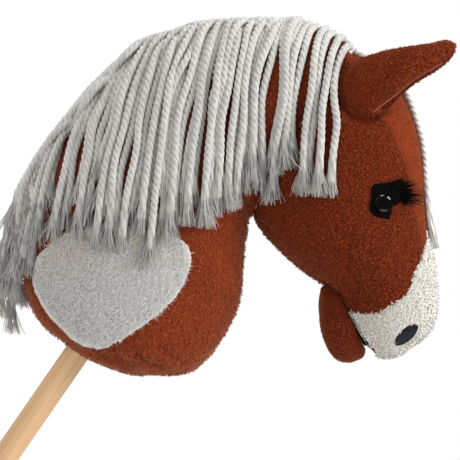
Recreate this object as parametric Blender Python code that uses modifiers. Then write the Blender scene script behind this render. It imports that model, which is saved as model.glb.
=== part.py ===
# Hobby horse: a stuffed plush horse head with a mane of cotton cord, on a round wooden stick.
# The head faces +X and its near side is -Y. The origin is the centre of the stick's foot.
# Everything on the head is drawn in the head's own frame, whose origin is the mouth of the
# pocket that the stick pushes into; an empty carries that frame to the top of the bare stick.

import math

import bmesh
import bpy
import numpy as np
from mathutils import Matrix, Vector
from mathutils.bvhtree import BVHTree

mm = 0.001

# Clearances
seam_gap = 0.35 * mm            # between pieces that are sewn or seated face to face
turning_gap = 0.6 * mm          # between a turning root and its socket

# Stick and the pocket that it pushes into
stick_diameter = 24 * mm
stick_length = 800 * mm
stick_in_head = 230 * mm
stick_tilt = math.radians(55.3)
stick_chamfer = 1.5 * mm
stick_pad_thickness = 6 * mm
stick_pad_rim = 0.5 * mm        # how far the pad stays inside the stick's edge
sleeve_clearance = 0.5 * mm
sleeve_wall = 1.6 * mm
sleeve_recess = 12 * mm         # how far the sleeve starts inside the pocket's mouth
sleeve_disc_thickness = 3 * mm

# Stuffed neck: widths across the horse, and the side outlines
neck_width = 126 * mm
neck_crest = [
    (-8, 0), (-38, 28), (-54, 80), (-49, 138), (-24, 194), (16, 248), (68, 291), (130, 309),
    (196, 312), (252, 298),
]
neck_throat = [
    (60, -29), (113, -23), (156, 40), (160, 100), (166, 142), (184, 166), (202, 184), (221, 199),
    (242, 213), (258, 252),
]
neck_taper = [0.46, 0.80, 1.0, 1.0, 0.98, 0.92, 0.86, 0.80, 0.70, 0.44]

# Stuffed head and muzzle in one outline, parted further down
head_width = 116 * mm
face_back = [
    (236, 272), (206, 247), (178, 209), (162, 168), (163, 127), (190, 94), (217, 72), (237, 57),
    (252, 36), (265, 10), (279, -13),
]
face_front = [
    (268, 271), (300, 250), (318, 213), (325, 178), (328, 142), (331, 109), (337, 84), (341, 62),
    (340, 40), (333, 15), (316, -8),
]
face_taper = [0.50, 0.76, 0.86, 0.95, 1.0, 0.97, 0.84, 0.72, 0.66, 0.58, 0.34]

# Seams that part the head: the forehead panel's and the white blaze's edge, seen from the side
forehead_seam = [
    (240, 300), (252, 276), (268, 248), (281, 225), (291, 214), (298, 200), (310, 171), (313, 152),
    (318, 128), (324, 104), (334, 80),
]
blaze_edge = [
    (352, 150), (333, 112), (327, 98), (322, 84), (317, 74), (311, 55), (304, 49), (295, 43),
    (284, 37), (268, 35), (252, 39),
]

# Lower jaw and mouth
jaw_width = 54 * mm
jaw_back = [(231, 66), (227, 50), (227, 34), (230, 16), (236, -1), (248, -14)]
jaw_front = [(257, 50), (262, 37), (267, 24), (271, 13), (274, 1), (270, -11)]
jaw_taper = [0.80, 0.96, 1.0, 0.98, 0.84, 0.50]
jaw_hinge = (235, 56)
jaw_roll_radius = 6 * mm
jaw_roll_length = 32 * mm
jaw_open_angle = math.radians(18)
mouth_line = [(250, 48), (256, 36), (264, 21), (273, 5), (284, -16)]
mouth_beyond = [(340, -16), (340, 48)]
lining_thickness = 1.6 * mm
lining_width = 44 * mm
lip_opening = 1.2 * mm          # between the two linings

# Ears
ear_root = (263, 248)
ear_ball_radius = 9 * mm
ear_root_inset = 2 * mm         # how far the ball's centre lies under the head's skin
ear_upper = [(254, 260), (262, 274), (278, 280), (302, 286), (331, 290), (358, 293)]
ear_lower = [(255, 238), (264, 222), (281, 222), (305, 236), (333, 257), (357, 280)]
ear_thickness = 27 * mm
ear_taper = [0.66, 0.94, 1.0, 0.92, 0.76, 0.44]
ear_spread = 13 * mm            # how far the tip stands out from the root, across the horse
ear_hollow_share = 0.74         # the hollow's height in the ear's own
ear_hollow_shift = 0.44         # and how far it is pushed towards the front edge
ear_lining_thickness = 1.4 * mm
ear_swing_up = math.radians(18)
ear_swing_down = math.radians(10)

# Eyes, their felt and lashes
eye_place = (287, 139)
eye_diameter = 18 * mm
eye_height = 7 * mm
eye_stem_diameter = 5 * mm
eye_stem_length = 13 * mm
washer_diameter = 15 * mm
washer_thickness = 2 * mm
washer_depth = 7 * mm
felt_thickness = 1.4 * mm
eye_felt = [
    (277, 156), (284, 158), (295, 159), (305, 162), (308, 155), (307, 147), (302, 139), (296, 135),
    (293, 124), (288, 125), (278, 128), (274, 133), (276, 143),
]
lash_band = [(291, 157), (299, 159), (305, 156), (307, 149), (304, 141)]
lash_count = 11
lash_length = 15 * mm
lash_root_radius = 0.8 * mm
lash_tip_radius = 0.25 * mm
lash_band_radius = 1.2 * mm

# Nostrils
nostril_place = (310, 15)
nostril_length = 26 * mm
nostril_height = 13 * mm
nostril_slope = math.radians(42)
nostril_thickness = 1.2 * mm

# Fluffy patch on each side of the neck
neck_patch = [
    (82, 108), (98, 105), (107, 92), (105, 76), (91, 50), (58, 23), (28, 6), (10, 6), (-10, 20),
    (-32, 45), (-41, 68), (-34, 92), (8, 118), (50, 118),
]
patch_thickness = 4 * mm

# Mane and forelock
cord_diameter = 7 * mm
cord_spacing = 0.6 * mm         # least space between neighbouring cords
cord_slack = 2.5 * mm           # and between a hanging cord and the fluffy patch
mane_tape_width = 14 * mm
mane_tape_thickness = 2 * mm
mane_tape_reach_out = 30 * mm   # the band about the crest that the tape is cut from
mane_tape_reach_in = 12 * mm
mane_line_steps = 200           # points on the lines that the cords' roots and ends are read from
mane_locks = 7                  # on each side
mane_cord_points = 7            # along each cord
mane_rise = 8 * mm              # how far the cords stand up before they fall
mane_bow = 14 * mm              # how far they swell away from the neck on their way down
tail_bow = 27 * mm              # and the lowest ones, behind the neck
tail_share = 0.62               # how far along the crest the cords start to fan out behind the neck
tail_fan = 0.75                 # sideways run of a fanning cord over its fall
tail_spread = (46, 5)           # distance from the middle plane of the first and last fanning cord
mane_roots = [
    (246, 301), (228, 305), (200, 312), (160, 314), (118, 306), (74, 288), (36, 262), (8, 234),
    (-14, 204), (-30, 174),
]
mane_ends = {
    "near": [
        (236, 133), (220, 136), (188, 143), (128, 128), (60, 104), (5, 101), (-32, 92), (-58, 70),
        (-76, 44), (-86, 16),
    ],
    "far": [
        (236, 133), (220, 136), (188, 143), (128, 128), (60, 104), (0, 90), (-32, 62), (-50, 32),
        (-66, 20), (-92, 12),
    ],
}
forelock_front = [
    (262, 6, 284), (278, 9, 277), (296, 9, 264), (310, 8, 247), (321, 6, 219), (328, 5, 191),
    (330, 4, 163), (332, 4, 136), (334, 4, 112), (334, 4, 99),
]
forelock_point_count = 14
forelock_step_high = (-2, 8.5, -1)   # from each forelock cord to the next one behind it, at the poll
forelock_step_low = (-1, 9, 0)     # and at the ends
forelock_cords = 2
forelock_slack = 1.1 * mm       # least space between a forelock cord and the forehead
forelock_shorter = 14 * mm      # how much shorter each next one is

tiny = 1e-5

for old in list(bpy.data.objects):
    bpy.data.objects.remove(old, do_unlink=True)

parts = bpy.data.collections.new("hobby_horse")
cutters = bpy.data.collections.new("cutters")
for group in (parts, cutters):
    bpy.context.scene.collection.children.link(group)


# Colours and finishes

def finish(name, colour, roughness):
    material = bpy.data.materials.new(name)
    material.use_nodes = True
    shader = material.node_tree.nodes["Principled BSDF"]
    shader.inputs["Base Color"].default_value = (*colour, 1)
    shader.inputs["Roughness"].default_value = roughness
    shader.inputs["Metallic"].default_value = 0
    return material


finishes = {
    "wood": finish("pale_wood", (0.72, 0.48, 0.28), 0.5),
    "chestnut": finish("chestnut_plush", (0.22, 0.045, 0.012), 0.95),
    "forehead": finish("forehead_plush", (0.26, 0.060, 0.018), 0.95),
    "white": finish("white_plush", (0.70, 0.68, 0.64), 0.95),
    "grey": finish("grey_fluff", (0.46, 0.45, 0.43), 0.95),
    "felt": finish("black_felt", (0.01, 0.01, 0.012), 0.9),
    "eye": finish("black_gloss", (0.004, 0.003, 0.003), 0.08),
    "plastic": finish("white_plastic", (0.7, 0.7, 0.7), 0.4),
    "cotton": finish("white_cotton", (0.68, 0.67, 0.63), 0.9),
    "tape": finish("cotton_tape", (0.60, 0.57, 0.50), 0.9),
    "thread": finish("black_thread", (0.01, 0.012, 0.016), 0.6),
}


# Objects, curves and Booleans

def flat(points):
    """Outline points in whole millimetres, as (x, z) in metres."""
    return [(x * mm, z * mm) for x, z in points]


def place(name, mesh, group=cutters):
    thing = bpy.data.objects.new(name, mesh)
    group.objects.link(thing)
    if group is cutters:
        thing.hide_render = True
        thing.display_type = "WIRE"
    return thing


def bake(thing):
    """The object's mesh with its modifiers worked in."""
    bpy.context.view_layer.update()
    evaluated = thing.evaluated_get(bpy.context.evaluated_depsgraph_get())
    mesh = bpy.data.meshes.new_from_object(evaluated)
    thing.modifiers.clear()
    thing.data = mesh
    return thing


def tidy(mesh, merge=tiny):
    work = bmesh.new()
    work.from_mesh(mesh)
    bmesh.ops.remove_doubles(work, verts=work.verts, dist=merge)
    bmesh.ops.recalc_face_normals(work, faces=work.faces)
    work.to_mesh(mesh)
    work.free()


def twin(thing, name):
    return place(name, thing.data.copy())


def combine(thing, tool, operation):
    step = thing.modifiers.new(operation.lower(), "BOOLEAN")
    step.operation = operation
    step.solver = "EXACT"
    step.object = tool
    return bake(thing)


def cut(thing, *tools):
    for tool in tools:
        combine(thing, tool, "DIFFERENCE")
    return thing


def smooth_form(thing):
    """Smoothed and triangulated, so that a grown copy keeps the same facets."""
    step = thing.modifiers.new("smooth", "SUBSURF")
    step.levels = 1
    step.render_levels = 1
    thing.modifiers.new("facets", "TRIANGULATE")
    return bake(thing)


def grown(thing, distance, name):
    """A copy whose skin lies this far outside the form's, or inside it where negative."""
    copy = twin(thing, name)
    step = copy.modifiers.new("grow", "DISPLACE")
    step.mid_level = 0
    step.strength = distance
    return bake(copy)


def loft(name, back, front, widths, sides=12, shift=None):
    """A closed smooth form from round rings, each from a back point to a front point."""
    shrink = (2 + math.cos(math.tau / sides)) / 3   # a smoothed ring's size over its cage's
    work = bmesh.new()
    rings = []
    for index, (low, high, width) in enumerate(zip(back, front, widths)):
        low, high = Vector((low[0], 0, low[1])), Vector((high[0], 0, high[1]))
        centre = (low + high) / 2
        if shift:
            centre = centre + Vector((0, shift[index], 0))
        half = (high - low) / 2 / shrink
        ring = []
        for corner in range(sides):
            angle = math.tau * corner / sides
            across = Vector((0, math.sin(angle) * width / 2 / shrink, 0))
            ring.append(work.verts.new(centre + half * math.cos(angle) + across))
        rings.append(ring)
    for first, second in zip(rings, rings[1:]):
        for corner in range(sides):
            after = (corner + 1) % sides
            work.faces.new((first[corner], first[after], second[after], second[corner]))
    work.faces.new(rings[0])
    work.faces.new(rings[-1])
    bmesh.ops.recalc_face_normals(work, faces=work.faces)
    mesh = bpy.data.meshes.new(name)
    work.to_mesh(mesh)
    work.free()
    return smooth_form(place(name, mesh))


def prism(name, outline, low_y, high_y, rounded=False, steps=3):
    """A flat side outline of (x, z) points, extruded across the horse."""
    curve = bpy.data.curves.new(name, "CURVE")
    curve.dimensions = "2D"
    curve.fill_mode = "BOTH"
    curve.extrude = (high_y - low_y) / 2
    if rounded:
        spline = curve.splines.new("BEZIER")
        spline.bezier_points.add(len(outline) - 1)
        for knot, (x, z) in zip(spline.bezier_points, outline):
            knot.co = (x, z, 0)
            knot.handle_left_type = "AUTO"
            knot.handle_right_type = "AUTO"
        spline.resolution_u = steps
    else:
        spline = curve.splines.new("POLY")
        spline.points.add(len(outline) - 1)
        for knot, (x, z) in zip(spline.points, outline):
            knot.co = (x, z, 0, 1)
    spline.use_cyclic_u = True
    shape = bpy.data.objects.new(name + "_outline", curve)
    cutters.objects.link(shape)
    bpy.context.view_layer.update()
    mesh = bpy.data.meshes.new_from_object(shape.evaluated_get(bpy.context.evaluated_depsgraph_get()))
    bpy.data.objects.remove(shape)
    mesh.transform(Matrix.Translation((0, (low_y + high_y) / 2, 0)) @ Matrix.Rotation(math.pi / 2, 4, "X"))
    tidy(mesh)
    return place(name, mesh)


def tube(name, points, radius, resolution, taper=None):
    """A round cord along the points, as a closed mesh."""
    curve = bpy.data.curves.new(name, "CURVE")
    curve.dimensions = "3D"
    curve.bevel_depth = radius
    curve.bevel_resolution = resolution
    curve.use_fill_caps = True
    spline = curve.splines.new("POLY")
    spline.points.add(len(points) - 1)
    for index, (knot, point) in enumerate(zip(spline.points, points)):
        knot.co = (*point, 1)
        knot.radius = taper[index] if taper else 1
    shape = bpy.data.objects.new(name + "_line", curve)
    cutters.objects.link(shape)
    bpy.context.view_layer.update()
    mesh = bpy.data.meshes.new_from_object(shape.evaluated_get(bpy.context.evaluated_depsgraph_get()))
    bpy.data.objects.remove(shape)
    tidy(mesh)
    return place(name, mesh)


def cylinder(name, radius, length, sides, matrix, far_radius=None):
    work = bmesh.new()
    bmesh.ops.create_cone(work, cap_ends=True, segments=sides, radius1=radius,
                          radius2=radius if far_radius is None else far_radius, depth=length, matrix=matrix)
    mesh = bpy.data.meshes.new(name)
    work.to_mesh(mesh)
    work.free()
    return place(name, mesh)


def ball(name, radius, centre, sides=14, rings=8):
    work = bmesh.new()
    bmesh.ops.create_uvsphere(work, u_segments=sides, v_segments=rings, radius=radius,
                              matrix=Matrix.Translation(centre))
    mesh = bpy.data.meshes.new(name)
    work.to_mesh(mesh)
    work.free()
    return place(name, mesh)


def shifted(points, distance):
    """The open outline moved sideways, to the left of its direction."""
    line = np.array(points, float)
    ahead = np.gradient(line, axis=0)
    ahead /= np.linalg.norm(ahead, axis=1)[:, None]
    return [tuple(p) for p in line + distance * np.column_stack([-ahead[:, 1], ahead[:, 0]])]


def smooth_path(points, count):
    """Evenly spaced points of one smooth curve through the given ones."""
    knots = np.array(points, float)
    gaps = np.linalg.norm(np.diff(knots, axis=0), axis=1)
    at = np.concatenate([[0], np.cumsum(gaps)])
    slopes = np.gradient(knots, at, axis=0)
    fine = np.linspace(0, at[-1], 40 * count)
    cell = np.clip(np.searchsorted(at, fine, side="right") - 1, 0, len(gaps) - 1)
    width = gaps[cell][:, None]
    part = ((fine - at[cell]) / gaps[cell])[:, None]
    line = ((1 + 2 * part) * (1 - part) ** 2 * knots[cell] + part * (1 - part) ** 2 * width * slopes[cell]
            + part ** 2 * (3 - 2 * part) * knots[cell + 1]
            + part ** 2 * (part - 1) * width * slopes[cell + 1])
    run = np.concatenate([[0], np.cumsum(np.linalg.norm(np.diff(line, axis=0), axis=1))])
    wanted = np.linspace(0, run[-1], count)
    return np.column_stack([np.interp(wanted, run, line[:, axis]) for axis in range(line.shape[1])])


def tree_of(thing):
    bpy.context.view_layer.update()
    return BVHTree.FromObject(thing, bpy.context.evaluated_depsgraph_get())


def skin_at(tree, x, z, side):
    """Where a line across the horse first meets the skin on this side, and the normal there."""
    outside = Vector((x, side * 0.5, z))
    hit, normal, _, _ = tree.ray_cast(outside, Vector((0, -side, 0)))
    return hit, normal


def keep(thing, name, material, pivot=None):
    """Moves a finished piece to the parts, with its origin on its joint's axis if it has one."""
    cutters.objects.unlink(thing)
    parts.objects.link(thing)
    thing.name = name
    thing.data.name = name
    thing.hide_render = False
    thing.display_type = "TEXTURED"
    thing.data.materials.clear()
    thing.data.materials.append(finishes[material])
    thing.data.shade_smooth()
    thing.data.set_sharp_from_angle(angle=math.radians(40))
    if pivot is not None:
        thing.data.transform(Matrix.Translation(-Vector(pivot)))
        thing.location = pivot
    thing.parent = head_frame
    return thing


stick_direction = Vector((math.cos(stick_tilt), 0, math.sin(stick_tilt)))
along_stick = Matrix.Rotation(math.pi / 2 - stick_tilt, 4, "Y")
head_frame = bpy.data.objects.new("head_frame", None)
parts.objects.link(head_frame)

# Names of the two sides, with the sign of Y
sides = {"near": -1, "far": 1}


# Stick, its pad, and the sleeve that it pushes into

def turned(name, profile, steps, matrix):
    """A turned piece from (radius, height) points, outer side from the top down."""
    work = bmesh.new()
    verts = [work.verts.new((radius, 0, height)) for radius, height in profile]
    for first, second in zip(verts, verts[1:]):
        work.edges.new((first, second))
    mesh = bpy.data.meshes.new(name)
    work.to_mesh(mesh)
    work.free()
    thing = place(name, mesh)
    step = thing.modifiers.new("turn", "SCREW")
    step.steps = steps
    step.render_steps = steps
    step.use_merge_vertices = True
    step.merge_threshold = tiny
    bake(thing)
    tidy(thing.data)
    thing.data.transform(matrix)
    return thing


def make_stick():
    radius = stick_diameter / 2
    inner = radius - stick_chamfer
    profile = [(0, stick_length), (inner, stick_length), (radius, stick_length - stick_chamfer),
               (radius, stick_chamfer), (inner, 0), (0, 0)]
    stick = turned("stick", profile, 24, along_stick)
    foot = -(stick_length - stick_in_head) * stick_direction
    stick.data.transform(Matrix.Translation(foot))
    keep(stick, "stick", "wood")
    pad_low = stick_in_head + seam_gap
    pad_high = pad_low + stick_pad_thickness
    pad_radius = radius - stick_pad_rim
    profile = [(0, pad_high), (pad_radius * 0.7, pad_high), (pad_radius, pad_high - stick_pad_thickness * 0.4),
               (pad_radius, pad_low), (0, pad_low)]
    keep(turned("pad", profile, 24, along_stick), "stick_top_pad", "tape")
    return pad_high


def make_sleeve(pad_high):
    bore = stick_diameter / 2 + sleeve_clearance
    outer = bore + sleeve_wall
    disc_low = pad_high + seam_gap
    disc_high = disc_low + sleeve_disc_thickness
    profile = [(bore, disc_low - seam_gap), (outer, disc_low - seam_gap), (outer, sleeve_recess),
               (bore, sleeve_recess), (bore, disc_low - seam_gap)]
    keep(turned("sleeve", profile, 24, along_stick), "stick_sleeve", "tape")
    profile = [(0, disc_high), (outer, disc_high), (outer, disc_low), (0, disc_low)]
    keep(turned("disc", profile, 24, along_stick), "sleeve_end_disc", "tape")
    return outer, disc_high


pad_top = make_stick()
sleeve_radius, sleeve_end = make_sleeve(pad_top)


# Neck with the pocket for the sleeve

neck_form = loft("neck_form", flat(neck_crest), flat(neck_throat), [neck_width * t for t in neck_taper])
neck_clear = grown(neck_form, seam_gap, "neck_clear")


def make_neck():
    pocket_start = -neck_width
    pocket_end = sleeve_end + seam_gap
    middle = (pocket_start + pocket_end) / 2
    pocket = cylinder("pocket", sleeve_radius + seam_gap, pocket_end - pocket_start, 24,
                      Matrix.Translation(stick_direction * middle) @ along_stick)
    return cut(twin(neck_form, "neck"), pocket)


neck = make_neck()

# Head: one form cut by the neck, then parted at the blaze's edge and the forehead seam

face_form = loft("face_form", flat(face_back), flat(face_front), [head_width * t for t in face_taper])
face_clear = grown(face_form, turning_gap, "face_clear")
face_tree = tree_of(face_form)
half_span = neck_width          # half the length of a cutter that passes right through


def region(name, edge, beyond, offset=0.0):
    """Everything on the far side of an open edge, which runs on to the points beyond."""
    return prism(name, shifted(flat(edge), offset) + flat(beyond), -half_span, half_span)


blaze_beyond = [(228, 42), (228, -60), (420, -60), (420, 150)]
forehead_beyond = [(420, 80), (420, 330), (240, 330)]


def mouth_band(name, low, high, width, start=0, end=None):
    """A strip along the mouth line between two offsets from it."""
    line = flat(mouth_line)[start:end]
    return prism(name, shifted(line, high) + shifted(line, low)[::-1], -width / 2, width / 2)


def make_head_pieces():
    face = cut(twin(face_form, "face"), neck_clear)
    muzzle = combine(twin(face, "muzzle"), region("blaze_region", blaze_edge, blaze_beyond), "INTERSECT")
    upper_seat = lip_opening / 2 + lining_thickness + seam_gap
    cut(muzzle, mouth_band("upper_mouth_cut", -half_span / 3, upper_seat, 2 * half_span))
    rest = cut(face, region("blaze_cut", blaze_edge, blaze_beyond, -seam_gap))
    gusset = combine(twin(rest, "gusset"), region("forehead_region", forehead_seam, forehead_beyond), "INTERSECT")
    head = cut(rest, region("forehead_cut", forehead_seam, forehead_beyond, -seam_gap))
    return head, gusset, muzzle


head, gusset, muzzle = make_head_pieces()


# Lower jaw on its roll, and the black felt inside the mouth

def turned_about(thing, name, pivot, angle):
    """A copy of a cutter turned about an axis across the horse."""
    copy = twin(thing, name)
    there = Matrix.Translation(pivot)
    copy.data.transform(there @ Matrix.Rotation(angle, 4, "Y") @ there.inverted())
    return copy


def across(centre):
    return Matrix.Translation(centre) @ Matrix.Rotation(math.pi / 2, 4, "X")


jaw_pivot = Vector((jaw_hinge[0] * mm, 0, jaw_hinge[1] * mm))


def make_jaw():
    lower_seat = lip_opening / 2 + lining_thickness + seam_gap
    below = shifted(flat(mouth_line), -lower_seat) + flat(mouth_beyond)
    mouth_side = prism("mouth_side", below, -half_span, half_span)
    cheek = cut(twin(face_clear, "cheek_clear"), region("blaze_guard", blaze_edge, blaze_beyond))
    jaw = loft("jaw", flat(jaw_back), flat(jaw_front), [jaw_width * t for t in jaw_taper], 8)
    cut(jaw, mouth_side, cheek, turned_about(cheek, "cheek_turned", jaw_pivot, -jaw_open_angle))
    roll = cylinder("jaw_roll", jaw_roll_radius, jaw_roll_length, 20, across(jaw_pivot))
    combine(jaw, roll, "UNION")
    socket = cylinder("jaw_socket", jaw_roll_radius + turning_gap, jaw_roll_length + 2 * turning_gap, 20,
                      across(jaw_pivot))
    cut(head, socket)
    keep(jaw, "lower_jaw", "chestnut", jaw_pivot)


def make_linings():
    inner = lip_opening / 2
    outer = inner + lining_thickness
    upper = mouth_band("mouth_lining_upper", inner, outer, lining_width, 1, 4)
    keep(upper, "mouth_lining_upper", "felt")
    lower = mouth_band("mouth_lining_lower", -outer, -inner, lining_width, 1, 4)
    keep(lower, "mouth_lining_lower", "felt", jaw_pivot)


make_jaw()
make_linings()


# Ears: a hollow leaf on a ball that turns in a socket, with a thin lining

def ear_pivot(side):
    skin, _ = skin_at(face_tree, ear_root[0] * mm, ear_root[1] * mm, side)
    return Vector((skin.x, skin.y - side * ear_root_inset, skin.z))


def ear_loft(name, side, share, push, first, sides):
    """The ear's form, or its hollow: a smaller one, pushed towards the front edge."""
    upper, lower = np.array(flat(ear_upper)), np.array(flat(ear_lower))
    half = (upper - lower) / 2
    middle = (upper + lower) / 2 - push * half
    widths = [ear_thickness * taper * share for taper in ear_taper]
    root_y = ear_pivot(side).y
    lean = [root_y + side * ear_spread * step / (len(widths) - 1) for step in range(len(widths))]
    low, high = middle - share * half, middle + share * half
    return loft(name, low[first:], high[first:], widths[first:], sides, lean[first:])


def make_ear(word, side):
    pivot = ear_pivot(side)
    leaf = ear_loft("ear_leaf", side, 1.0, 0.0, 0, 8)
    hollow = ear_loft("ear_hollow", side, ear_hollow_share, ear_hollow_shift, 1, 6)
    lining = grown(hollow, -seam_gap, "ear_lining")
    cut(lining, grown(hollow, -seam_gap - ear_lining_thickness, "ear_inside"))
    combine(lining, grown(leaf, -ear_lining_thickness, "ear_trim"), "INTERSECT")
    guards = [turned_about(face_clear, "face_guard", pivot, swing)
              for swing in (ear_swing_up, 0.0, -ear_swing_down)]
    cut(leaf, *guards, hollow)
    combine(leaf, ball("ear_ball", ear_ball_radius, pivot), "UNION")
    cut(lining, *guards, ball("ear_ball_clear", ear_ball_radius + seam_gap, pivot))
    socket = ball("ear_socket", ear_ball_radius + turning_gap, pivot)
    for piece in (head, gusset, neck):
        cut(piece, socket)
    keep(leaf, "ear_" + word, "chestnut", pivot)
    keep(lining, "ear_lining_" + word, "forehead", pivot)


for word, side in sides.items():
    make_ear(word, side)


# Thin pieces that follow the skin: felt, satin stitch, fluffy patches and the mane's tape

def skin_pad(name, form, region_prism, gap, thickness):
    """The layer between two offsets of a form's skin, inside a region."""
    pad = grown(form, gap + thickness, name)
    cut(pad, grown(form, gap, name + "_under"))
    return combine(pad, region_prism, "INTERSECT")


def make_eye(word, side):
    skin, normal = skin_at(face_tree, eye_place[0] * mm, eye_place[1] * mm, side)
    turn = normal.to_track_quat("Z", "Y").to_matrix().to_4x4()
    seat = Matrix.Translation(skin) @ turn
    lift = 2 * seam_gap + felt_thickness
    low_y, high_y = sorted((side * mm, side * half_span))
    felt_area = prism("felt_area", flat(eye_felt), low_y, high_y, rounded=True, steps=2)
    felt = skin_pad("eye_patch", face_form, felt_area, seam_gap, felt_thickness)
    stem = eye_stem_diameter / 2
    hole = cylinder("stem_hole", stem + seam_gap, 4 * eye_stem_length, 16, seat)
    cut(felt, hole)
    keep(felt, "eye_patch_" + word, "felt")
    radius = eye_diameter / 2
    rise = [(radius * math.cos(math.radians(a)), lift + eye_height * (0.25 + 0.75 * math.sin(math.radians(a))))
            for a in (90, 66, 44, 22, 0)]
    rise[0] = (0, rise[0][1])
    tail = [(radius, lift + eye_height * 0.12), (radius * 0.9, lift + tiny), (stem, lift + tiny)]
    end = [(stem, lift - eye_stem_length), (0, lift - eye_stem_length)]
    keep(turned("eye", rise + tail + end, 16, seat), "eye_" + word, "eye")
    high, low = -washer_depth, -washer_depth - washer_thickness
    ring = washer_diameter / 2
    hole_radius = stem + seam_gap
    profile = [(hole_radius, high), (ring, high), (ring, low), (hole_radius, low), (hole_radius, high)]
    keep(turned("washer", profile, 16, seat), "eye_washer_" + word, "plastic")
    room = washer_thickness + 2 * seam_gap
    pocket = cylinder("washer_pocket", ring + 2 * seam_gap, room, 16,
                      seat @ Matrix.Translation((0, 0, (high + low) / 2)))
    well_depth = eye_stem_length - lift + seam_gap
    well = cylinder("stem_well", stem + seam_gap, 2 * well_depth, 16, seat)
    combine(pocket, well, "UNION")
    cut(head, pocket)


def make_lashes(word, side):
    lift = felt_thickness + 2 * seam_gap + lash_band_radius
    band = []
    for x, z in smooth_path(flat(lash_band), 9):
        skin, normal = skin_at(face_tree, x, z, side)
        band.append(skin + normal * lift)
    strip = tube("lash_band", band, lash_band_radius, 1)
    centre, _ = skin_at(face_tree, eye_place[0] * mm, eye_place[1] * mm, side)
    line = smooth_path(band, lash_count)
    for index in range(lash_count):
        root = Vector(line[index])
        out = root - centre
        out.y = 0
        out.normalize()
        out = (out + Vector((0.25, side * 0.8, 0.1))).normalized()
        length = lash_length * (0.8 + 0.2 * math.cos(index * 2.4))
        tip = root + out * length
        turn = out.to_track_quat("Z", "Y").to_matrix().to_4x4()
        lash = cylinder("lash", lash_root_radius, length, 4,
                        Matrix.Translation((root + tip) / 2) @ turn, lash_tip_radius)
        combine(strip, lash, "UNION")
    keep(strip, "lashes_" + word, "thread")


def make_nostril(word, side):
    x, z = nostril_place[0] * mm, nostril_place[1] * mm
    slope = Matrix.Rotation(nostril_slope, 2)
    outline = []
    for step in range(20):
        angle = math.tau * step / 20
        spot = slope @ Vector((nostril_length / 2 * math.cos(angle), nostril_height / 2 * math.sin(angle)))
        outline.append((x + spot.x, z + spot.y))
    low_y, high_y = sorted((side * mm, side * half_span))
    area = prism("nostril_area", outline, low_y, high_y)
    keep(skin_pad("nostril", face_form, area, seam_gap, nostril_thickness), "nostril_" + word, "thread")


def make_patch(word, side):
    low_y, high_y = sorted((side * mm, side * half_span))
    area = prism("patch_area", flat(neck_patch), low_y, high_y, rounded=True, steps=2)
    keep(skin_pad("patch", neck_form, area, seam_gap, patch_thickness), "neck_patch_" + word, "grey")


for word, side in sides.items():
    make_eye(word, side)
    make_lashes(word, side)
    make_nostril(word, side)
    make_patch(word, side)


# Mane: a tape along the crest, and cords that fall on both sides in locks

neck_tree = tree_of(neck_form)
body_trees = (neck_tree, face_tree)
cord_radius = cord_diameter / 2


def crest_at(point):
    """The crest's skin and normal nearest to a guide point in the middle plane."""
    hit, normal, _, _ = neck_tree.find_nearest(Vector((point[0], 0, point[1])))
    return Vector((hit.x, 0, hit.z)), Vector((normal.x, 0, normal.z)).normalized()


def make_tape():
    roots = smooth_path(flat(mane_roots), 16)
    inner = [tuple(crest_at(p)[0].xz) for p in roots]
    outer = shifted(inner, -mane_tape_reach_out)
    under = shifted(inner, mane_tape_reach_in)
    area = prism("tape_area", outer + under[::-1], -mane_tape_width / 2, mane_tape_width / 2)
    keep(skin_pad("tape", neck_form, area, seam_gap, mane_tape_thickness), "mane_tape", "tape")


def clear_of_bodies(point, room):
    """The point moved out until it has this much room to the neck and the head."""
    for _ in range(3):
        for tree in body_trees:
            hit, normal, _, distance = tree.find_nearest(point)
            away = point - hit
            inside = away.dot(normal) < 0
            if inside or distance < room:
                point = hit + normal * room
    return point


root_height = seam_gap * 2 + mane_tape_thickness + cord_radius


def mane_path(share, word):
    """One cord's line, from its root on the tape to its end."""
    side = sides[word]
    roots = smooth_path(flat(mane_roots), mane_line_steps)
    ends = smooth_path(flat(mane_ends[word]), mane_line_steps)
    at = share * (mane_line_steps - 1)
    low = min(int(at), mane_line_steps - 2)
    root = roots[low] + (roots[low + 1] - roots[low]) * (at - low)
    end = ends[low] + (ends[low + 1] - ends[low]) * (at - low)
    skin, normal = crest_at(root)
    start = skin + normal * root_height + Vector((0, side * (cord_radius + seam_gap), 0))
    top = start + normal * mane_rise * 0.8 + Vector((0, side * mane_rise * 0.7, 0))
    shoulder = start + normal * mane_rise * 0.5 + Vector((0, side * mane_rise * 1.9, 0))
    line = [start, top, shoulder]
    fall = Vector((end[0], 0, end[1]))
    room = cord_radius + patch_thickness + cord_slack
    spread = shoulder.y
    for step in (0.12, 0.3, 0.5, 0.72, 1.0):
        flat_point = shoulder.lerp(fall, step)
        swell = (mane_bow + (tail_bow - mane_bow) * share ** 2) * math.sin(math.pi * step)
        x, z = flat_point.x + min(0, normal.x) * swell, flat_point.z + normal.z * swell
        reach = [skin_at(tree, x, z, side)[0] for tree in body_trees]
        outs = [abs(hit.y) for hit in reach if hit]
        if share > tail_share:
            fan = (share - tail_share) / (1 - tail_share)
            widest = (tail_spread[0] + fan * (tail_spread[1] - tail_spread[0])) * mm
            spread = side * min(abs(shoulder.y) + tail_fan * (shoulder.z - z), max(widest, abs(shoulder.y)))
        elif outs:
            spread = side * (max(outs) + room)
        line.append(clear_of_bodies(Vector((x, spread, z)), room))
    return line


def nearest_pair(first, second):
    """The least distance between two cords, each as straight runs between its points."""
    at = np.linspace(0, mane_cord_points - 1, 37)
    whole = np.arange(mane_cord_points)
    a, b = [np.column_stack([np.interp(at, whole, line[:, axis]) for axis in range(3)])
            for line in (first, second)]
    return np.min(np.linalg.norm(a[:, None] - b[None], axis=2))


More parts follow.
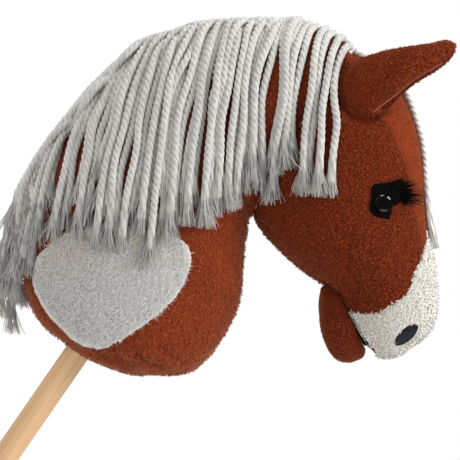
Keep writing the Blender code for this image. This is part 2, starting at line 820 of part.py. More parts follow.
def mane_lines(word):
    """As many cords as fit along the crest with their least spacing."""
    lines = [smooth_path(mane_path(0.0, word), mane_cord_points)]
    share, step = 0.0, 0.004
    while share < 1 - step:
        share += step
        line = smooth_path(mane_path(share, word), mane_cord_points)
        if nearest_pair(lines[-1], line) >= cord_diameter + cord_spacing:
            lines.append(line)
    return lines


def make_mane(word):
    lines = mane_lines(word)
    print("mane cords on the", word, "side:", len(lines))
    for number, chosen in enumerate(np.array_split(np.arange(len(lines)), mane_locks), 1):
        starts = [Vector(lines[i][0]) for i in chosen]
        ahead = (starts[-1] - starts[0]).normalized() * cord_radius * 0.9
        bar = tube("lock_bar", [starts[0] - ahead] + starts[1:-1] + [starts[-1] + ahead], 1.04 * cord_radius, 1)
        for i in chosen:
            combine(bar, tube("mane_cord", lines[i], cord_radius, 1), "UNION")
        keep(bar, "mane_" + word + "_" + str(number), "cotton")


def make_forelock():
    points = np.array(forelock_front, float) * mm
    share = np.clip(np.linspace(-0.5, 1.5, len(points)), 0, 1)[:, None]
    step = (1 - share) * np.array(forelock_step_high) + share * np.array(forelock_step_low)
    for number in range(forelock_cords):
        moved = points + step * mm * number
        line = smooth_path(moved, 24)
        run = np.concatenate([[0], np.cumsum(np.linalg.norm(np.diff(line, axis=0), axis=1))])
        kept = line[run <= run[-1] - number * forelock_shorter]
        route = [clear_of_bodies(Vector(p), cord_radius + forelock_slack) for p in kept]
        cord = tube("forelock", smooth_path(route, forelock_point_count), cord_radius, 2)
        keep(cord, "forelock_cord_" + str(number + 1), "cotton")


make_tape()
for word in sides:
    make_mane(word)
make_forelock()

keep(neck, "neck", "chestnut")
keep(head, "head", "chestnut")
keep(gusset, "forehead_gusset", "forehead")
keep(muzzle, "muzzle", "white")

head_frame.location = stick_direction * (stick_length - stick_in_head)
bpy.context.view_layer.update()
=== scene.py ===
import math

import bmesh
import bpy
import numpy as np
from mathutils import Matrix, Vector, noise
from mathutils.bvhtree import BVHTree


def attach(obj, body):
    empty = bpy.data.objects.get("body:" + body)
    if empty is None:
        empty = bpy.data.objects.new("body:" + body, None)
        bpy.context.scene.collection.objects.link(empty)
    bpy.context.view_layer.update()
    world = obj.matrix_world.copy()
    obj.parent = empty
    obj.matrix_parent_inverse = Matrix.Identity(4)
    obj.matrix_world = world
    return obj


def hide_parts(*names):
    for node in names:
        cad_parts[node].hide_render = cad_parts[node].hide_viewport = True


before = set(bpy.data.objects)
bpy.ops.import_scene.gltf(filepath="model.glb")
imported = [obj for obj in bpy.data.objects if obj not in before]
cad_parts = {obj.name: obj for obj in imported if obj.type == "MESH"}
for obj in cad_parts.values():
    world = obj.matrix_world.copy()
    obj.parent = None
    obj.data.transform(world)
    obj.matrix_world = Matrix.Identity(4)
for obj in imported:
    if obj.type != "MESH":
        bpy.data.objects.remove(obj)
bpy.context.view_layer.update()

mm = 0.001
pocketMouth = np.array((0.32449, 0, 0.46862))   # where the stick enters the neck: outlines are in mm from it
stickWay = Vector((0.56928, 0, 0.82214))
stickTurn = stickWay.to_track_quat("Z", "Y").to_matrix().to_4x4()
sideSign = {"Near": -1, "Far": 1}
rng = np.random.default_rng(21)
noise.seed_set(21)                              # or else noise vectors follow the clock


# Small tools for the bench

def atHead(x, y, z):
    return Vector(pocketMouth) + Vector((x, y, z)) * mm


# From points in the room to mm from the pocket's mouth
def toHead(points):
    return (points - pocketMouth) / mm


def pickOnly(*pieces):
    bpy.ops.object.select_all(action="DESELECT")
    for piece in pieces:
        piece.select_set(True)
    if pieces:
        bpy.context.view_layer.objects.active = pieces[0]


# Adds a modifier and applies it
def workOn(piece, kind, **values):
    step = piece.modifiers.new(kind.lower(), kind)
    for key, value in values.items():
        setattr(step, key, value)
    pickOnly(piece)
    bpy.ops.object.modifier_apply(modifier=step.name)
    return piece


def remesh(piece, voxel, rounds):
    workOn(piece, "REMESH", mode="VOXEL", voxel_size=voxel * mm, adaptivity=0)
    workOn(piece, "SMOOTH", factor=0.5, iterations=rounds)


# One operator on the whole mesh in edit mode; faces are turned outward after it
def editAll(piece, operator, **values):
    pickOnly(piece)
    bpy.ops.object.mode_set(mode="EDIT")
    bpy.ops.mesh.select_all(action="SELECT")
    operator(**values)
    bpy.ops.mesh.normals_make_consistent(inside=False)
    bpy.ops.object.mode_set(mode="OBJECT")
    return piece


def dropPiece(piece):
    bpy.data.objects.remove(piece, do_unlink=True)


def pointsOf(piece, key="co"):
    values = np.empty(len(piece.data.vertices) * 3)
    piece.data.vertices.foreach_get(key, values)
    return values.reshape(-1, 3)


def normalsOf(piece):
    return pointsOf(piece, "normal")


def setPoints(piece, points):
    piece.data.vertices.foreach_set("co", np.ascontiguousarray(points).ravel())
    piece.data.update()


# Painted shade on the plush at each point: 1 in a seam, less than 0 a painted highlight on a ridge
def paintShade(piece, values):
    layer = piece.data.attributes.new("paintedShade", "FLOAT", "POINT")
    layer.data.foreach_set("value", values)


def linkNew(name, data):
    piece = bpy.data.objects.new(name, data)
    bpy.context.scene.collection.objects.link(piece)
    return piece


def meshPiece(name, points, faces):
    mesh = bpy.data.meshes.new(name)
    mesh.from_pydata(np.asarray(points).tolist(), [], faces)
    mesh.update()
    return linkNew(name, mesh)


# A merged copy of CAD nodes, in one mesh
def cadCopy(name, *nodes):
    work = bmesh.new()
    for node in nodes:
        work.from_mesh(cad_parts[node].data)
    bmesh.ops.remove_doubles(work, verts=work.verts, dist=1e-6)
    points = [tuple(v.co) for v in work.verts]
    faces = [[v.index for v in face.verts] for face in work.faces]
    work.free()
    return meshPiece(name, points, faces)


def unitRows(rows, tiny=0.0):
    return rows / (np.linalg.norm(rows, axis=1)[:, None] + tiny)


def lengthOf(line):
    return np.linalg.norm(np.diff(line, axis=0), axis=1).sum()


# How far along the line each of its points is
def runOf(line):
    return np.concatenate([[0], np.cumsum(np.linalg.norm(np.diff(line, axis=0), axis=1))])


# Evenly spaced points of one smooth curve through the given ones
def smoothLine(points, count):
    knots = np.array(points, float)
    gaps = np.linalg.norm(np.diff(knots, axis=0), axis=1)
    at = np.concatenate([[0], np.cumsum(gaps)])
    slopes = np.gradient(knots, at, axis=0)
    fine = np.linspace(0, at[-1], 20 * count)
    cell = np.clip(np.searchsorted(at, fine, side="right") - 1, 0, len(gaps) - 1)
    width = gaps[cell][:, None]
    t = ((fine - at[cell]) / gaps[cell])[:, None]
    line = ((1 + 2 * t) * (1 - t) ** 2 * knots[cell] + t * (1 - t) ** 2 * width * slopes[cell]
            + t ** 2 * (3 - 2 * t) * knots[cell + 1] + t ** 2 * (t - 1) * width * slopes[cell + 1])
    run = runOf(line)
    wanted = np.linspace(0, run[-1], count)
    return np.column_stack([np.interp(wanted, run, line[:, axis]) for axis in range(line.shape[1])])


# From each 2-D point to a polyline
def distanceTo(points, line):
    best = np.full(len(points), 1e9)
    for a, b in zip(line[:-1], line[1:]):
        run = b - a
        t = np.clip(((points - a) @ run) / (run @ run), 0, 1)
        best = np.minimum(best, np.linalg.norm(points - a - t[:, None] * run, axis=1))
    return best


# A flat side outline in mm, as a closed block right across the horse
def sidePrism(name, outline, halfWidth=130):
    work = bmesh.new()
    low = [work.verts.new(atHead(x, -halfWidth, z)) for x, z in outline]
    face = work.faces.new(low)
    sides = bmesh.ops.extrude_face_region(work, geom=[face])
    moved = [v for v in sides["geom"] if isinstance(v, bmesh.types.BMVert)]
    bmesh.ops.translate(work, vec=(0, 2 * halfWidth * mm, 0), verts=moved)
    bmesh.ops.recalc_face_normals(work, faces=work.faces)
    bmesh.ops.triangulate(work, faces=work.faces)
    mesh = bpy.data.meshes.new(name)
    work.to_mesh(mesh)
    work.free()
    return linkNew(name, mesh)


def shiftedLine(points, distance):
    line = np.array(points, float)
    ahead = unitRows(np.gradient(line, axis=0))
    return line + distance * np.column_stack([-ahead[:, 1], ahead[:, 0]])


def copyOf(piece, name):
    return linkNew(name, piece.data.copy())


def carve(piece, tool, operation="DIFFERENCE", keepTool=False):
    workOn(piece, "BOOLEAN", operation=operation, solver="MANIFOLD", object=tool)
    if not keepTool:
        dropPiece(tool)
    return piece


# Names the primitive that was just added, and moves its mesh to its place
def placed(name, matrix):
    piece = bpy.context.object
    piece.name = name
    piece.data.name = name
    piece.data.transform(matrix)
    return piece


def ball(name, radius, centre, segments=32, rings=16):
    pickOnly()
    bpy.ops.mesh.primitive_uv_sphere_add(segments=segments, ring_count=rings, radius=radius)
    return placed(name, Matrix.Translation(centre))


def rod(name, radius, length, matrix, segments=48):
    pickOnly()
    bpy.ops.mesh.primitive_cylinder_add(vertices=segments, radius=radius, depth=length)
    return placed(name, matrix)


def treeOf(piece):
    points = [tuple(point) for point in pointsOf(piece)]
    return BVHTree.FromPolygons(points, [list(face.vertices) for face in piece.data.polygons])


def smoothShade(piece, angle=None):
    pickOnly(piece)
    if angle is None:
        bpy.ops.object.shade_smooth()
    else:
        bpy.ops.object.shade_smooth_by_angle(angle=math.radians(angle))


# Shader nodes

def addNode(tree, kind, inputs=None, **settings):
    node = tree.nodes.new(kind)
    for key, value in settings.items():
        setattr(node, key, value)
    for key, value in (inputs or {}).items():
        socket = node.inputs[key]
        if isinstance(value, bpy.types.NodeSocket):
            tree.links.new(value, socket)
        else:
            socket.default_value = value
    return node


def mathNode(tree, operation, *values):
    return addNode(tree, "ShaderNodeMath", dict(enumerate(values)), operation=operation).outputs[0]


def scaleColour(tree, colour, factor):
    return addNode(tree, "ShaderNodeVectorMath", {0: colour, "Scale": factor}, operation="SCALE").outputs[0]


def rangeNode(tree, value, fromMin, fromMax, toMin, toMax):
    return addNode(tree, "ShaderNodeMapRange", {"Value": value, "From Min": fromMin, "From Max": fromMax,
                                                "To Min": toMin, "To Max": toMax}).outputs[0]


def objectPlace(tree):
    return addNode(tree, "ShaderNodeTexCoord").outputs["Object"]


def noiseNode(tree, where, scale, detail=2.0, **more):
    inputs = {"Vector": where, "Scale": scale, "Detail": detail, **more}
    return addNode(tree, "ShaderNodeTexNoise", inputs).outputs[0]


def rampNode(tree, value, stops):
    node = addNode(tree, "ShaderNodeValToRGB", {"Fac": value})
    for element, (at, colour) in zip(node.color_ramp.elements, stops):
        element.position = at
        element.color = (*colour, 1)
    return node.outputs["Color"]


def newGroup(name, inputs, outputs):
    group = bpy.data.node_groups.new(name, "ShaderNodeTree")
    for label, kind, value in inputs:
        socket = group.interface.new_socket(name=label, in_out="INPUT", socket_type=kind)
        socket.default_value = value
    for label, kind in outputs:
        group.interface.new_socket(name=label, in_out="OUTPUT", socket_type=kind)
    return group, group.nodes.new("NodeGroupInput").outputs, group.nodes.new("NodeGroupOutput").inputs


def newMaterial(name, **values):
    material = bpy.data.materials.new(name)
    material.use_nodes = True
    tree = material.node_tree
    shader = tree.nodes["Principled BSDF"]
    for key, value in values.items():
        shader.inputs[key.replace("_", " ")].default_value = value
    return material, tree, shader


# Feeds a material's colour, and its bump where it has one
def paint(tree, shader, colour, height=None, strength=0.0, distance=0.0):
    tree.links.new(colour, shader.inputs["Base Color"])
    if height is not None:
        bump = addNode(tree, "ShaderNodeBump", {"Height": height, "Strength": strength, "Distance": distance})
        tree.links.new(bump.outputs["Normal"], shader.inputs["Normal"])


# Pile of plush: fine tufts and soft clumps, darker down in their hollows (partly their own colour, partly
# painted shade), with slow changes of tone, on Object coordinates
def makePlushPile():
    group, given, wanted = newGroup(
        "plushPile",
        [("Tip", "NodeSocketColor", (1, 1, 1, 1)), ("Root", "NodeSocketColor", (0, 0, 0, 1)),
         ("Tufts", "NodeSocketFloat", 420.0), ("Clumps", "NodeSocketFloat", 95.0),
         ("Seam", "NodeSocketFloat", 0.0)],
        [("Color", "NodeSocketColor"), ("Height", "NodeSocketFloat")])
    where = objectPlace(group)
    tufts = noiseNode(group, where, given["Tufts"], 3.0, Roughness=0.62, Distortion=0.5)
    curls = addNode(group, "ShaderNodeTexVoronoi", {"Vector": where, "Scale": given["Tufts"]},
                    feature="SMOOTH_F1").outputs["Distance"]
    clumps = noiseNode(group, where, given["Clumps"])
    slow = noiseNode(group, where, 14.0, 1.0)
    height = mathNode(group, "MULTIPLY_ADD", tufts, 0.75, mathNode(group, "MULTIPLY", curls, 0.30))
    height = mathNode(group, "MULTIPLY_ADD", clumps, 0.35, height)
    # darker where the pile is low: partly painted shade in its hollows
    share = rangeNode(group, height, 0.42, 0.86, 0.0, 1.0)
    colour = addNode(group, "ShaderNodeMix", {0: share, 6: given["Root"], 7: given["Tip"]},
                     data_type="RGBA").outputs[2]
    shade = rangeNode(group, slow, 0.3, 0.7, 0.88, 1.08)
    # the mesh's painted shade darkens the pile, and below 0 pales it as a painted highlight
    dark = mathNode(group, "MULTIPLY", shade, mathNode(group, "MULTIPLY_ADD", given["Seam"], -0.72, 1.0))
    group.links.new(scaleColour(group, colour, dark), wanted["Color"])
    group.links.new(height, wanted["Height"])
    return group


plushPile = makePlushPile()

plushUsual = {"tufts": 480.0, "clumps": 160.0, "bump": 0.8, "depth": 0.0018, "sheen": 0.45,
              "sheenRough": 0.30, "sheenTint": (0.95, 0.40, 0.20, 1)}
plush = {
    # each gives its colours, and what isn't as usual
    "chestnut": {"tip": (0.165, 0.0255, 0.0068, 1), "root": (0.062, 0.0080, 0.0024, 1)},
    # the neck's plush is paler than the head's: painted light, for the sheen the neck catches
    "neck": {"tip": (0.245, 0.0420, 0.0126, 1), "root": (0.122, 0.0170, 0.0052, 1), "sheen": 0.7,
             "sheenRough": 0.35, "sheenTint": (0.95, 0.50, 0.30, 1)},
    "forehead": {"tip": (0.235, 0.0415, 0.0125, 1), "root": (0.132, 0.0200, 0.0060, 1), "tufts": 620.0,
                 "clumps": 150.0, "bump": 0.60, "depth": 0.0011},
    "earLining": {"tip": (0.300, 0.075, 0.031, 1), "root": (0.150, 0.030, 0.012, 1), "tufts": 620.0,
                  "clumps": 80.0, "bump": 0.5, "depth": 0.0012, "sheen": 0.5, "sheenRough": 0.4,
                  "sheenTint": (0.95, 0.5, 0.33, 1)},
    "jaw": {"tip": (0.150, 0.0215, 0.0070, 1), "root": (0.070, 0.0085, 0.0030, 1), "bump": 0.7,
            "depth": 0.0016, "sheenRough": 0.36},
    "white": {"tip": (0.720, 0.695, 0.640, 1), "root": (0.500, 0.470, 0.415, 1), "tufts": 430.0,
              "clumps": 120.0, "sheen": 0.2, "sheenRough": 0.5, "sheenTint": (1, 1, 1, 1)},
    "grey": {"tip": (0.740, 0.720, 0.690, 1), "root": (0.520, 0.500, 0.470, 1), "tufts": 330.0,
             "clumps": 90.0, "bump": 1.0, "depth": 0.0024, "sheen": 0.3, "sheenRough": 0.5,
             "sheenTint": (1, 1, 1, 1)},
    "felt": {"tip": (0.0045, 0.004, 0.0045, 1), "root": (0.001, 0.001, 0.001, 1), "tufts": 900.0,
             "clumps": 200.0, "bump": 0.6, "depth": 0.0008, "sheen": 0.0, "sheenRough": 0.5,
             "sheenTint": (1, 1, 1, 1)},
}


def plushMaterial(name):
    own = {**plushUsual, **plush[name]}
    material, tree, shader = newMaterial(
        name + "Plush", Roughness=0.95, Specular_IOR_Level=0.1, Sheen_Weight=own["sheen"],
        Sheen_Roughness=own["sheenRough"], Sheen_Tint=own["sheenTint"])
    paintedShade = addNode(tree, "ShaderNodeAttribute", attribute_name="paintedShade").outputs["Fac"]
    pile = addNode(tree, "ShaderNodeGroup", {"Tip": own["tip"], "Root": own["root"], "Tufts": own["tufts"],
                                             "Clumps": own["clumps"], "Seam": paintedShade}, node_tree=plushPile)
    paint(tree, shader, pile.outputs["Color"], pile.outputs["Height"], own["bump"], own["depth"])
    return material


plushFinish = {name: plushMaterial(name) for name in plush}

wood = {"light": (0.76, 0.50, 0.285), "dark": (0.60, 0.355, 0.175), "lean": -34.7}      # degrees off upright


# Pale dowel wood: long fibres and a few slow bands along the stick
def makeWood():
    material, tree, shader = newMaterial("paleWood", Roughness=0.55)
    turned = addNode(tree, "ShaderNodeMapping", {"Vector": objectPlace(tree),
                                                 "Rotation": (0, math.radians(wood["lean"]), 0)}).outputs[0]
    fibre = addNode(tree, "ShaderNodeMapping", {"Vector": turned, "Scale": (900, 900, 14)}).outputs[0]
    bands = addNode(tree, "ShaderNodeMapping", {"Vector": turned, "Scale": (95, 95, 3)}).outputs[0]
    fine = noiseNode(tree, fibre, 1.0, 4.0)
    slow = noiseNode(tree, bands, 1.0, 3.0, Distortion=0.8)
    share = mathNode(tree, "MULTIPLY_ADD", fine, 0.45, mathNode(tree, "MULTIPLY", slow, 0.6))
    colour = rampNode(tree, share, [(0.38, wood["dark"]), (0.68, wood["light"])])
    tree.links.new(rangeNode(tree, fine, 0.0, 1.0, 0.45, 0.7), shader.inputs["Roughness"])
    paint(tree, shader, colour, fine, 0.15, 0.0004)
    return material


# Twisted cotton: fibres along each strand, with painted shade in the grooves between the three strands
def makeCotton(name, light, shade, grooveShade):
    material, tree, shader = newMaterial(name, Roughness=0.9, Specular_IOR_Level=0.2, Sheen_Weight=0.25,
                                         Sheen_Roughness=0.5)
    uv = addNode(tree, "ShaderNodeUVMap", uv_map="strand").outputs[0]
    around = addNode(tree, "ShaderNodeSeparateXYZ", {0: uv}).outputs[0]
    along = addNode(tree, "ShaderNodeMapping", {"Vector": uv, "Scale": (34, 210, 1)}).outputs[0]
    fibres = noiseNode(tree, along, 1.0, 3.0, Roughness=0.7)
    colour = rampNode(tree, fibres, [(0.25, shade), (0.62, light)])
    soft = rangeNode(tree, noiseNode(tree, objectPlace(tree), 120.0), 0.3, 0.7, 0.86, 1.05)
    third = mathNode(tree, "FRACT", mathNode(tree, "MULTIPLY", around, 3.0))
    edge = mathNode(tree, "ABSOLUTE", mathNode(tree, "MULTIPLY_ADD", third, 2.0, -1.0))
    deep = mathNode(tree, "POWER", mathNode(tree, "SUBTRACT", 1.0, edge), 3.0)
    dark = mathNode(tree, "MULTIPLY", soft, mathNode(tree, "MULTIPLY_ADD", deep, -grooveShade, 1.0))
    paint(tree, shader, scaleColour(tree, colour, dark), fibres, 0.5, 0.0006)
    return material


def makeThread(name, light, shade, roughness, sheen, tint=(1, 1, 1, 1)):
    gloss = 0.15 if roughness > 0.8 else 0.5
    material, tree, shader = newMaterial(name, Roughness=roughness, Specular_IOR_Level=gloss,
                                         Sheen_Weight=sheen, Sheen_Roughness=0.3, Sheen_Tint=tint)
    fine = noiseNode(tree, objectPlace(tree), 500.0)
    paint(tree, shader, rampNode(tree, fine, [(0.35, shade), (0.65, light)]), fine, 0.3, 0.0003)
    return material


# Woven cotton tape, over and under
def makeTape():
    material, tree, shader = newMaterial("cottonTape", Roughness=0.9, Sheen_Weight=0.2)
    where = objectPlace(tree)
    warp, weft = (addNode(tree, "ShaderNodeTexWave", {"Vector": where, "Scale": 420.0, "Distortion": 0.6,
                                                      "Detail": 1.0}, bands_direction=way).outputs[1]
                  for way in ("Y", "Z"))
    both = mathNode(tree, "MULTIPLY", warp, weft)
    paint(tree, shader, rampNode(tree, both, [(0.0, (0.50, 0.47, 0.40)), (0.8, (0.74, 0.71, 0.64))]),
          both, 0.6, 0.0005)
    return material


# Polished black plastic with the faintest haze
def makeGloss():
    material, tree, shader = newMaterial("blackGloss", Roughness=0.05, Specular_IOR_Level=0.5,
                                         Coat_Weight=0.5, Coat_Roughness=0.03)
    haze = noiseNode(tree, objectPlace(tree), 260.0)
    tree.links.new(rangeNode(tree, haze, 0.0, 1.0, 0.04, 0.12), shader.inputs["Roughness"])
    colour = rampNode(tree, haze, [(0.3, (0.0010, 0.0010, 0.0012)), (0.8, (0.0022, 0.0022, 0.0026))])
    paint(tree, shader, colour)
    return material


def makeMoulded():
    material, tree, shader = newMaterial("whitePlastic", Roughness=0.4)
    mottle = noiseNode(tree, objectPlace(tree), 300.0, 3.0)
    colour = rampNode(tree, mottle, [(0.3, (0.62, 0.62, 0.60)), (0.7, (0.74, 0.74, 0.73))])
    paint(tree, shader, colour, mottle, 0.1, 0.0002)
    return material


finishes = {
    "wood": makeWood(),
    # the threads' cotton is painted far paler than the cord's, against the shade among the threads
    "cord": makeCotton("whiteCotton", (0.62, 0.605, 0.580), (0.48, 0.47, 0.450), 0.20),
    # the forelock's cotton is painted paler, against the shade it hangs in
    "forelock": makeCotton("forelockCotton", (0.84, 0.83, 0.80), (0.66, 0.65, 0.62), 0.15),
    "thread": makeThread("cottonThread", (0.97, 0.96, 0.945), (0.88, 0.87, 0.85), 0.9, 0.8),
    "greyThread": makeThread("greyPile", (0.80, 0.79, 0.77), (0.58, 0.57, 0.55), 0.9, 0.2),
    "tanThread": makeThread("tanPile", (0.80, 0.66, 0.50), (0.62, 0.47, 0.32), 0.9, 0.2),
    "creamThread": makeThread("creamPile", (0.84, 0.82, 0.77), (0.64, 0.61, 0.55), 0.9, 0.2),
    "brownThread": makeThread("brownPile", (0.275, 0.0470, 0.0129), (0.098, 0.0141, 0.0039), 0.95, 0.7,
                              (0.95, 0.40, 0.20, 1)),
    # the neck's pile is paler than the head's: painted light, for the sheen the neck catches
    "neckThread": makeThread("neckPileThread", (0.385, 0.0770, 0.0250), (0.185, 0.0300, 0.0094), 0.95, 1.0,
                             (0.95, 0.50, 0.30, 1)),
    "foreheadThread": makeThread("foreheadPile", (0.310, 0.0570, 0.0162), (0.172, 0.0262, 0.0072), 0.95, 0.6,
                                 (0.95, 0.40, 0.20, 1)),
    "lash": makeThread("lashThread", (0.005, 0.0045, 0.0045), (0.0015, 0.0015, 0.0015), 0.6, 0.0),
    "satin": makeThread("satinThread", (0.018, 0.024, 0.034), (0.004, 0.006, 0.009), 0.38, 0.0),
    "tape": makeTape(),
    "gloss": makeGloss(),
    "moulded": makeMoulded(),
}
print("finishes made")


# Gives a finished piece its material, body and the CAD nodes it stands for
def dress(piece, material, body, *nodes, slot=None, padded=None):
    piece.data.materials.clear()
    for each in material if isinstance(material, (list, tuple)) else [material]:
        piece.data.materials.append(each)
    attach(piece, body)
    if nodes:
        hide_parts(*nodes)
    return piece


# Camera, floor and light

view = {"centre": (0.4679, 0, 0.5826), "distance": 5.0, "frameWidth": 0.437}

cameraData = bpy.data.cameras.new("sideCamera")
cameraData.sensor_width = 36
cameraData.lens = cameraData.sensor_width * view["distance"] / view["frameWidth"]
cameraData.clip_end = 100
camera = linkNew("sideCamera", cameraData)
camera.location = (view["centre"][0], -view["distance"], view["centre"][2])
camera.rotation_euler = (math.radians(90), 0, 0)
bpy.context.scene.camera = camera

light = {
    "sky": 0.44,
    "glossySky": 0.05,
    # energy, size and place; the eye mirrors only the glints
    "lamps": {"keyLight": (16.0, 0.9, (-0.8, -2.2, 1.4)), "frontLight": (42.0, 1.0, (2.5, -0.9, 1.2)),
              "rimLight": (10.0, 1.0, (0.2, 1.9, 1.8))},
    "aim": (0.45, 0, 0.6),
    "glints": {"topLight0": (10.0, 0.75, (-1.0, 0.20, 1.90)), "topLight1": (10.0, 0.75, (0.50, -0.10, 2.49)),
               "topLight2": (10.0, 0.75, (2.0, -0.20, 1.75)), "lowCard": (0.9, 0.6, (0.66, -0.10, 0.05))},
    "glintAim": (0.61, 0, 0.61),
}


def areaLight(name, energy, size, place, aim):
    data = bpy.data.lights.new(name, "AREA")
    data.energy = energy
    data.size = size
    lamp = linkNew(name, data)
    lamp.location = place
    lamp.rotation_euler = (Vector(aim) - Vector(place)).to_track_quat("-Z", "Y").to_euler()
    return lamp


for name, setting in light["lamps"].items():
    areaLight(name, *setting, light["aim"]).visible_glossy = False
for name, setting in light["glints"].items():
    card = areaLight(name, *setting, light["glintAim"])
card.visible_camera = False                          # the last, low card only shows in the eye's lower rim
card.visible_diffuse = False

world = bpy.data.worlds.new("studio")
bpy.context.scene.world = world
world.use_nodes = True
worldTree = world.node_tree
worldTree.nodes.clear()
rays = addNode(worldTree, "ShaderNodeLightPath")
glow = mathNode(worldTree, "MULTIPLY_ADD", rays.outputs["Is Glossy Ray"], light["glossySky"] - light["sky"],
                light["sky"])
lit = addNode(worldTree, "ShaderNodeBackground", {"Color": (1.0, 0.99, 0.97, 1), "Strength": glow})
seen = addNode(worldTree, "ShaderNodeBackground", {"Color": (1, 1, 1, 1), "Strength": 1.0})
mixed = addNode(worldTree, "ShaderNodeMixShader", {0: rays.outputs["Is Camera Ray"], 1: lit.outputs[0],
                                                   2: seen.outputs[0]})
addNode(worldTree, "ShaderNodeOutputWorld", {"Surface": mixed.outputs[0]})
bpy.context.scene.view_settings.view_transform = "Standard"

pickOnly()
bpy.ops.mesh.primitive_circle_add(vertices=96, radius=1.6, fill_type="NGON", location=(0.4, 0, -0.0005))
floor = bpy.context.object
floor.name = "studioFloor"
floorFinish = newMaterial("paleFloor", Roughness=0.8, Base_Color=(0.86, 0.86, 0.86, 1))[0]
floor.data.materials.append(floorFinish)
floor.visible_glossy = False
print("camera, floor and light set")


# Rope and its frayed ends

rope = {"radius": 3.75, "pitch": 19.0, "sides": 18, "step": 1.6, "threads": 72, "threadWidth": 0.85,
        "flare": 4.2, "opens": 12, "fill": 0.75}


# Unit directions and two side directions that don't spin, at each point of a line
def alongFrames(line):
    ahead = unitRows(np.gradient(line, axis=0))
    side = np.zeros_like(ahead)
    first = np.cross(ahead[0], (0.3, 1, 0.1))
    side[0] = first / np.linalg.norm(first)
    for i in range(1, len(line)):
        flat = side[i - 1] - ahead[i] * (side[i - 1] @ ahead[i])
        side[i] = flat / np.linalg.norm(flat)
    return ahead, side, np.cross(ahead, side)


# Collects many small tubes into one mesh, with a strand map
class Bundle:
    def __init__(self):
        self.points, self.faces, self.uvs, self.kinds, self.count = [], [], [], [], 0

    # Rings of equal size, closed round, with flat ends
    def addGrid(self, rings, uv, kind):
        rows, sides = rings.shape[0], rings.shape[1]
        base = self.count
        index = base + np.arange(rows * sides).reshape(rows, sides)
        a, b = index[:-1], index[1:]
        quads = np.stack([a, np.roll(a, -1, 1), np.roll(b, -1, 1), b], -1).reshape(-1, 4)
        self.points.append(rings.reshape(-1, 3))
        self.faces += quads.tolist() + [index[0][::-1].tolist(), index[-1].tolist()]
        u, v = uv
        across = np.stack([u[:-1], u[:-1] + 1.0 / sides, u[1:] + 1.0 / sides, u[1:]], -1).reshape(-1, 4)
        down = np.stack([v[:-1], v[:-1], v[1:], v[1:]], -1).reshape(-1, 4)
        self.uvs.append(np.stack([across, down], -1).reshape(-1, 2))
        self.uvs.append(np.stack([u[0][::-1], v[0]], -1))
        self.uvs.append(np.stack([u[-1], v[-1]], -1))
        self.kinds += [kind] * (len(quads) + 2)
        self.count += rows * sides

    def finish(self, name):
        piece = meshPiece(name, np.concatenate(self.points), self.faces)
        layer = piece.data.uv_layers.new(name="strand")
        layer.data.foreach_set("uv", np.concatenate(self.uvs).ravel())
        piece.data.polygons.foreach_set("material_index", self.kinds)
        piece.data.polygons.foreach_set("use_smooth", [True] * len(self.faces))
        piece.data.update()
        return piece


# Three strands twisted about the line; over its last stretch the twist opens and the grooves fill
def ropeRings(line, turn, loose, flared):
    length = lengthOf(line)
    rows = max(6, int(length / (rope["step"] * mm)))
    fine = smoothLine(line, rows)
    ahead, side, up = alongFrames(fine)
    run = np.linspace(0, length, rows)
    opened = np.clip(1 - (length - run) / loose, 0, 1)
    pitch = rope["pitch"] * mm * (1 + 3.5 * opened ** 1.3)
    twist = np.concatenate([[0], np.cumsum(math.tau * length / (rows - 1) / pitch[1:])])
    own = np.arange(rope["sides"]) / rope["sides"]                # place round the rope, fixed to its strands
    fold = (own * 3 + 0.5) % 1 - 0.5                              # 0 on top of a strand
    bend = fold * math.tau / 3
    strand = 0.44 * np.cos(bend) + np.sqrt(np.maximum(0.336 - 0.194 * np.sin(bend) ** 2, 0.0004))
    strand = 0.66 * strand + 0.33                                 # the grooves of cotton aren't deep
    fill = (rope["fill"] * opened)[:, None]
    reach = rope["radius"] * mm * (strand[None] * (1 - fill) + 0.94 * fill)
    reach = reach * (1 + flared * opened ** 2.5)[:, None]
    endTaper = np.sqrt(np.clip((length - run) / (4 * mm), 0, 1))
    reach = reach * np.clip(endTaper, 0.3, 1)[:, None]
    angle = own[None] * math.tau - twist[:, None] + turn
    rings = (fine[:, None] + (reach * np.cos(angle))[..., None] * side[:, None]
             + (reach * np.sin(angle))[..., None] * up[:, None])
    u = np.repeat(own[None], rows, 0)
    v = np.repeat(run[:, None], rope["sides"], 1)
    return rings, (u, v), fine


# The loosened end takes the threads' cotton: loose cotton is paler, and this one is painted paler still
# against the shade among the threads
def addRope(bundle, line, loose, turn=0.0, flared=0.05):
    rings, uv, fine = ropeRings(line, turn, loose, flared)
    bundle.addGrid(rings, uv, 0)
    rows, sides = rings.shape[:2]
    pale = min(rows - 1, int(rope["fill"] * loose / (rope["step"] * mm))) * sides
    bundle.kinds[-2 - pale:-2] = [1] * pale                       # the two last faces close the ends
    bundle.kinds[-1] = 1 if pale else 0
    return fine


# A round thread of one thickness, or one that thins towards its end
def addThread(bundle, line, radius, sides, taper=1.0):
    ahead, side, up = alongFrames(line)
    own = np.arange(sides) / sides
    angle = own * math.tau
    ring = np.cos(angle)[None, :, None] * side[:, None] + np.sin(angle)[None, :, None] * up[:, None]
    rings = line[:, None] + ring * (radius * np.linspace(1, taper, len(line)))[:, None, None]
    u = np.repeat(own[None], len(line), 0)
    v = np.repeat(np.linspace(0, 0.05, len(line))[:, None], sides, 1)
    bundle.addGrid(rings, (u, v), 0)


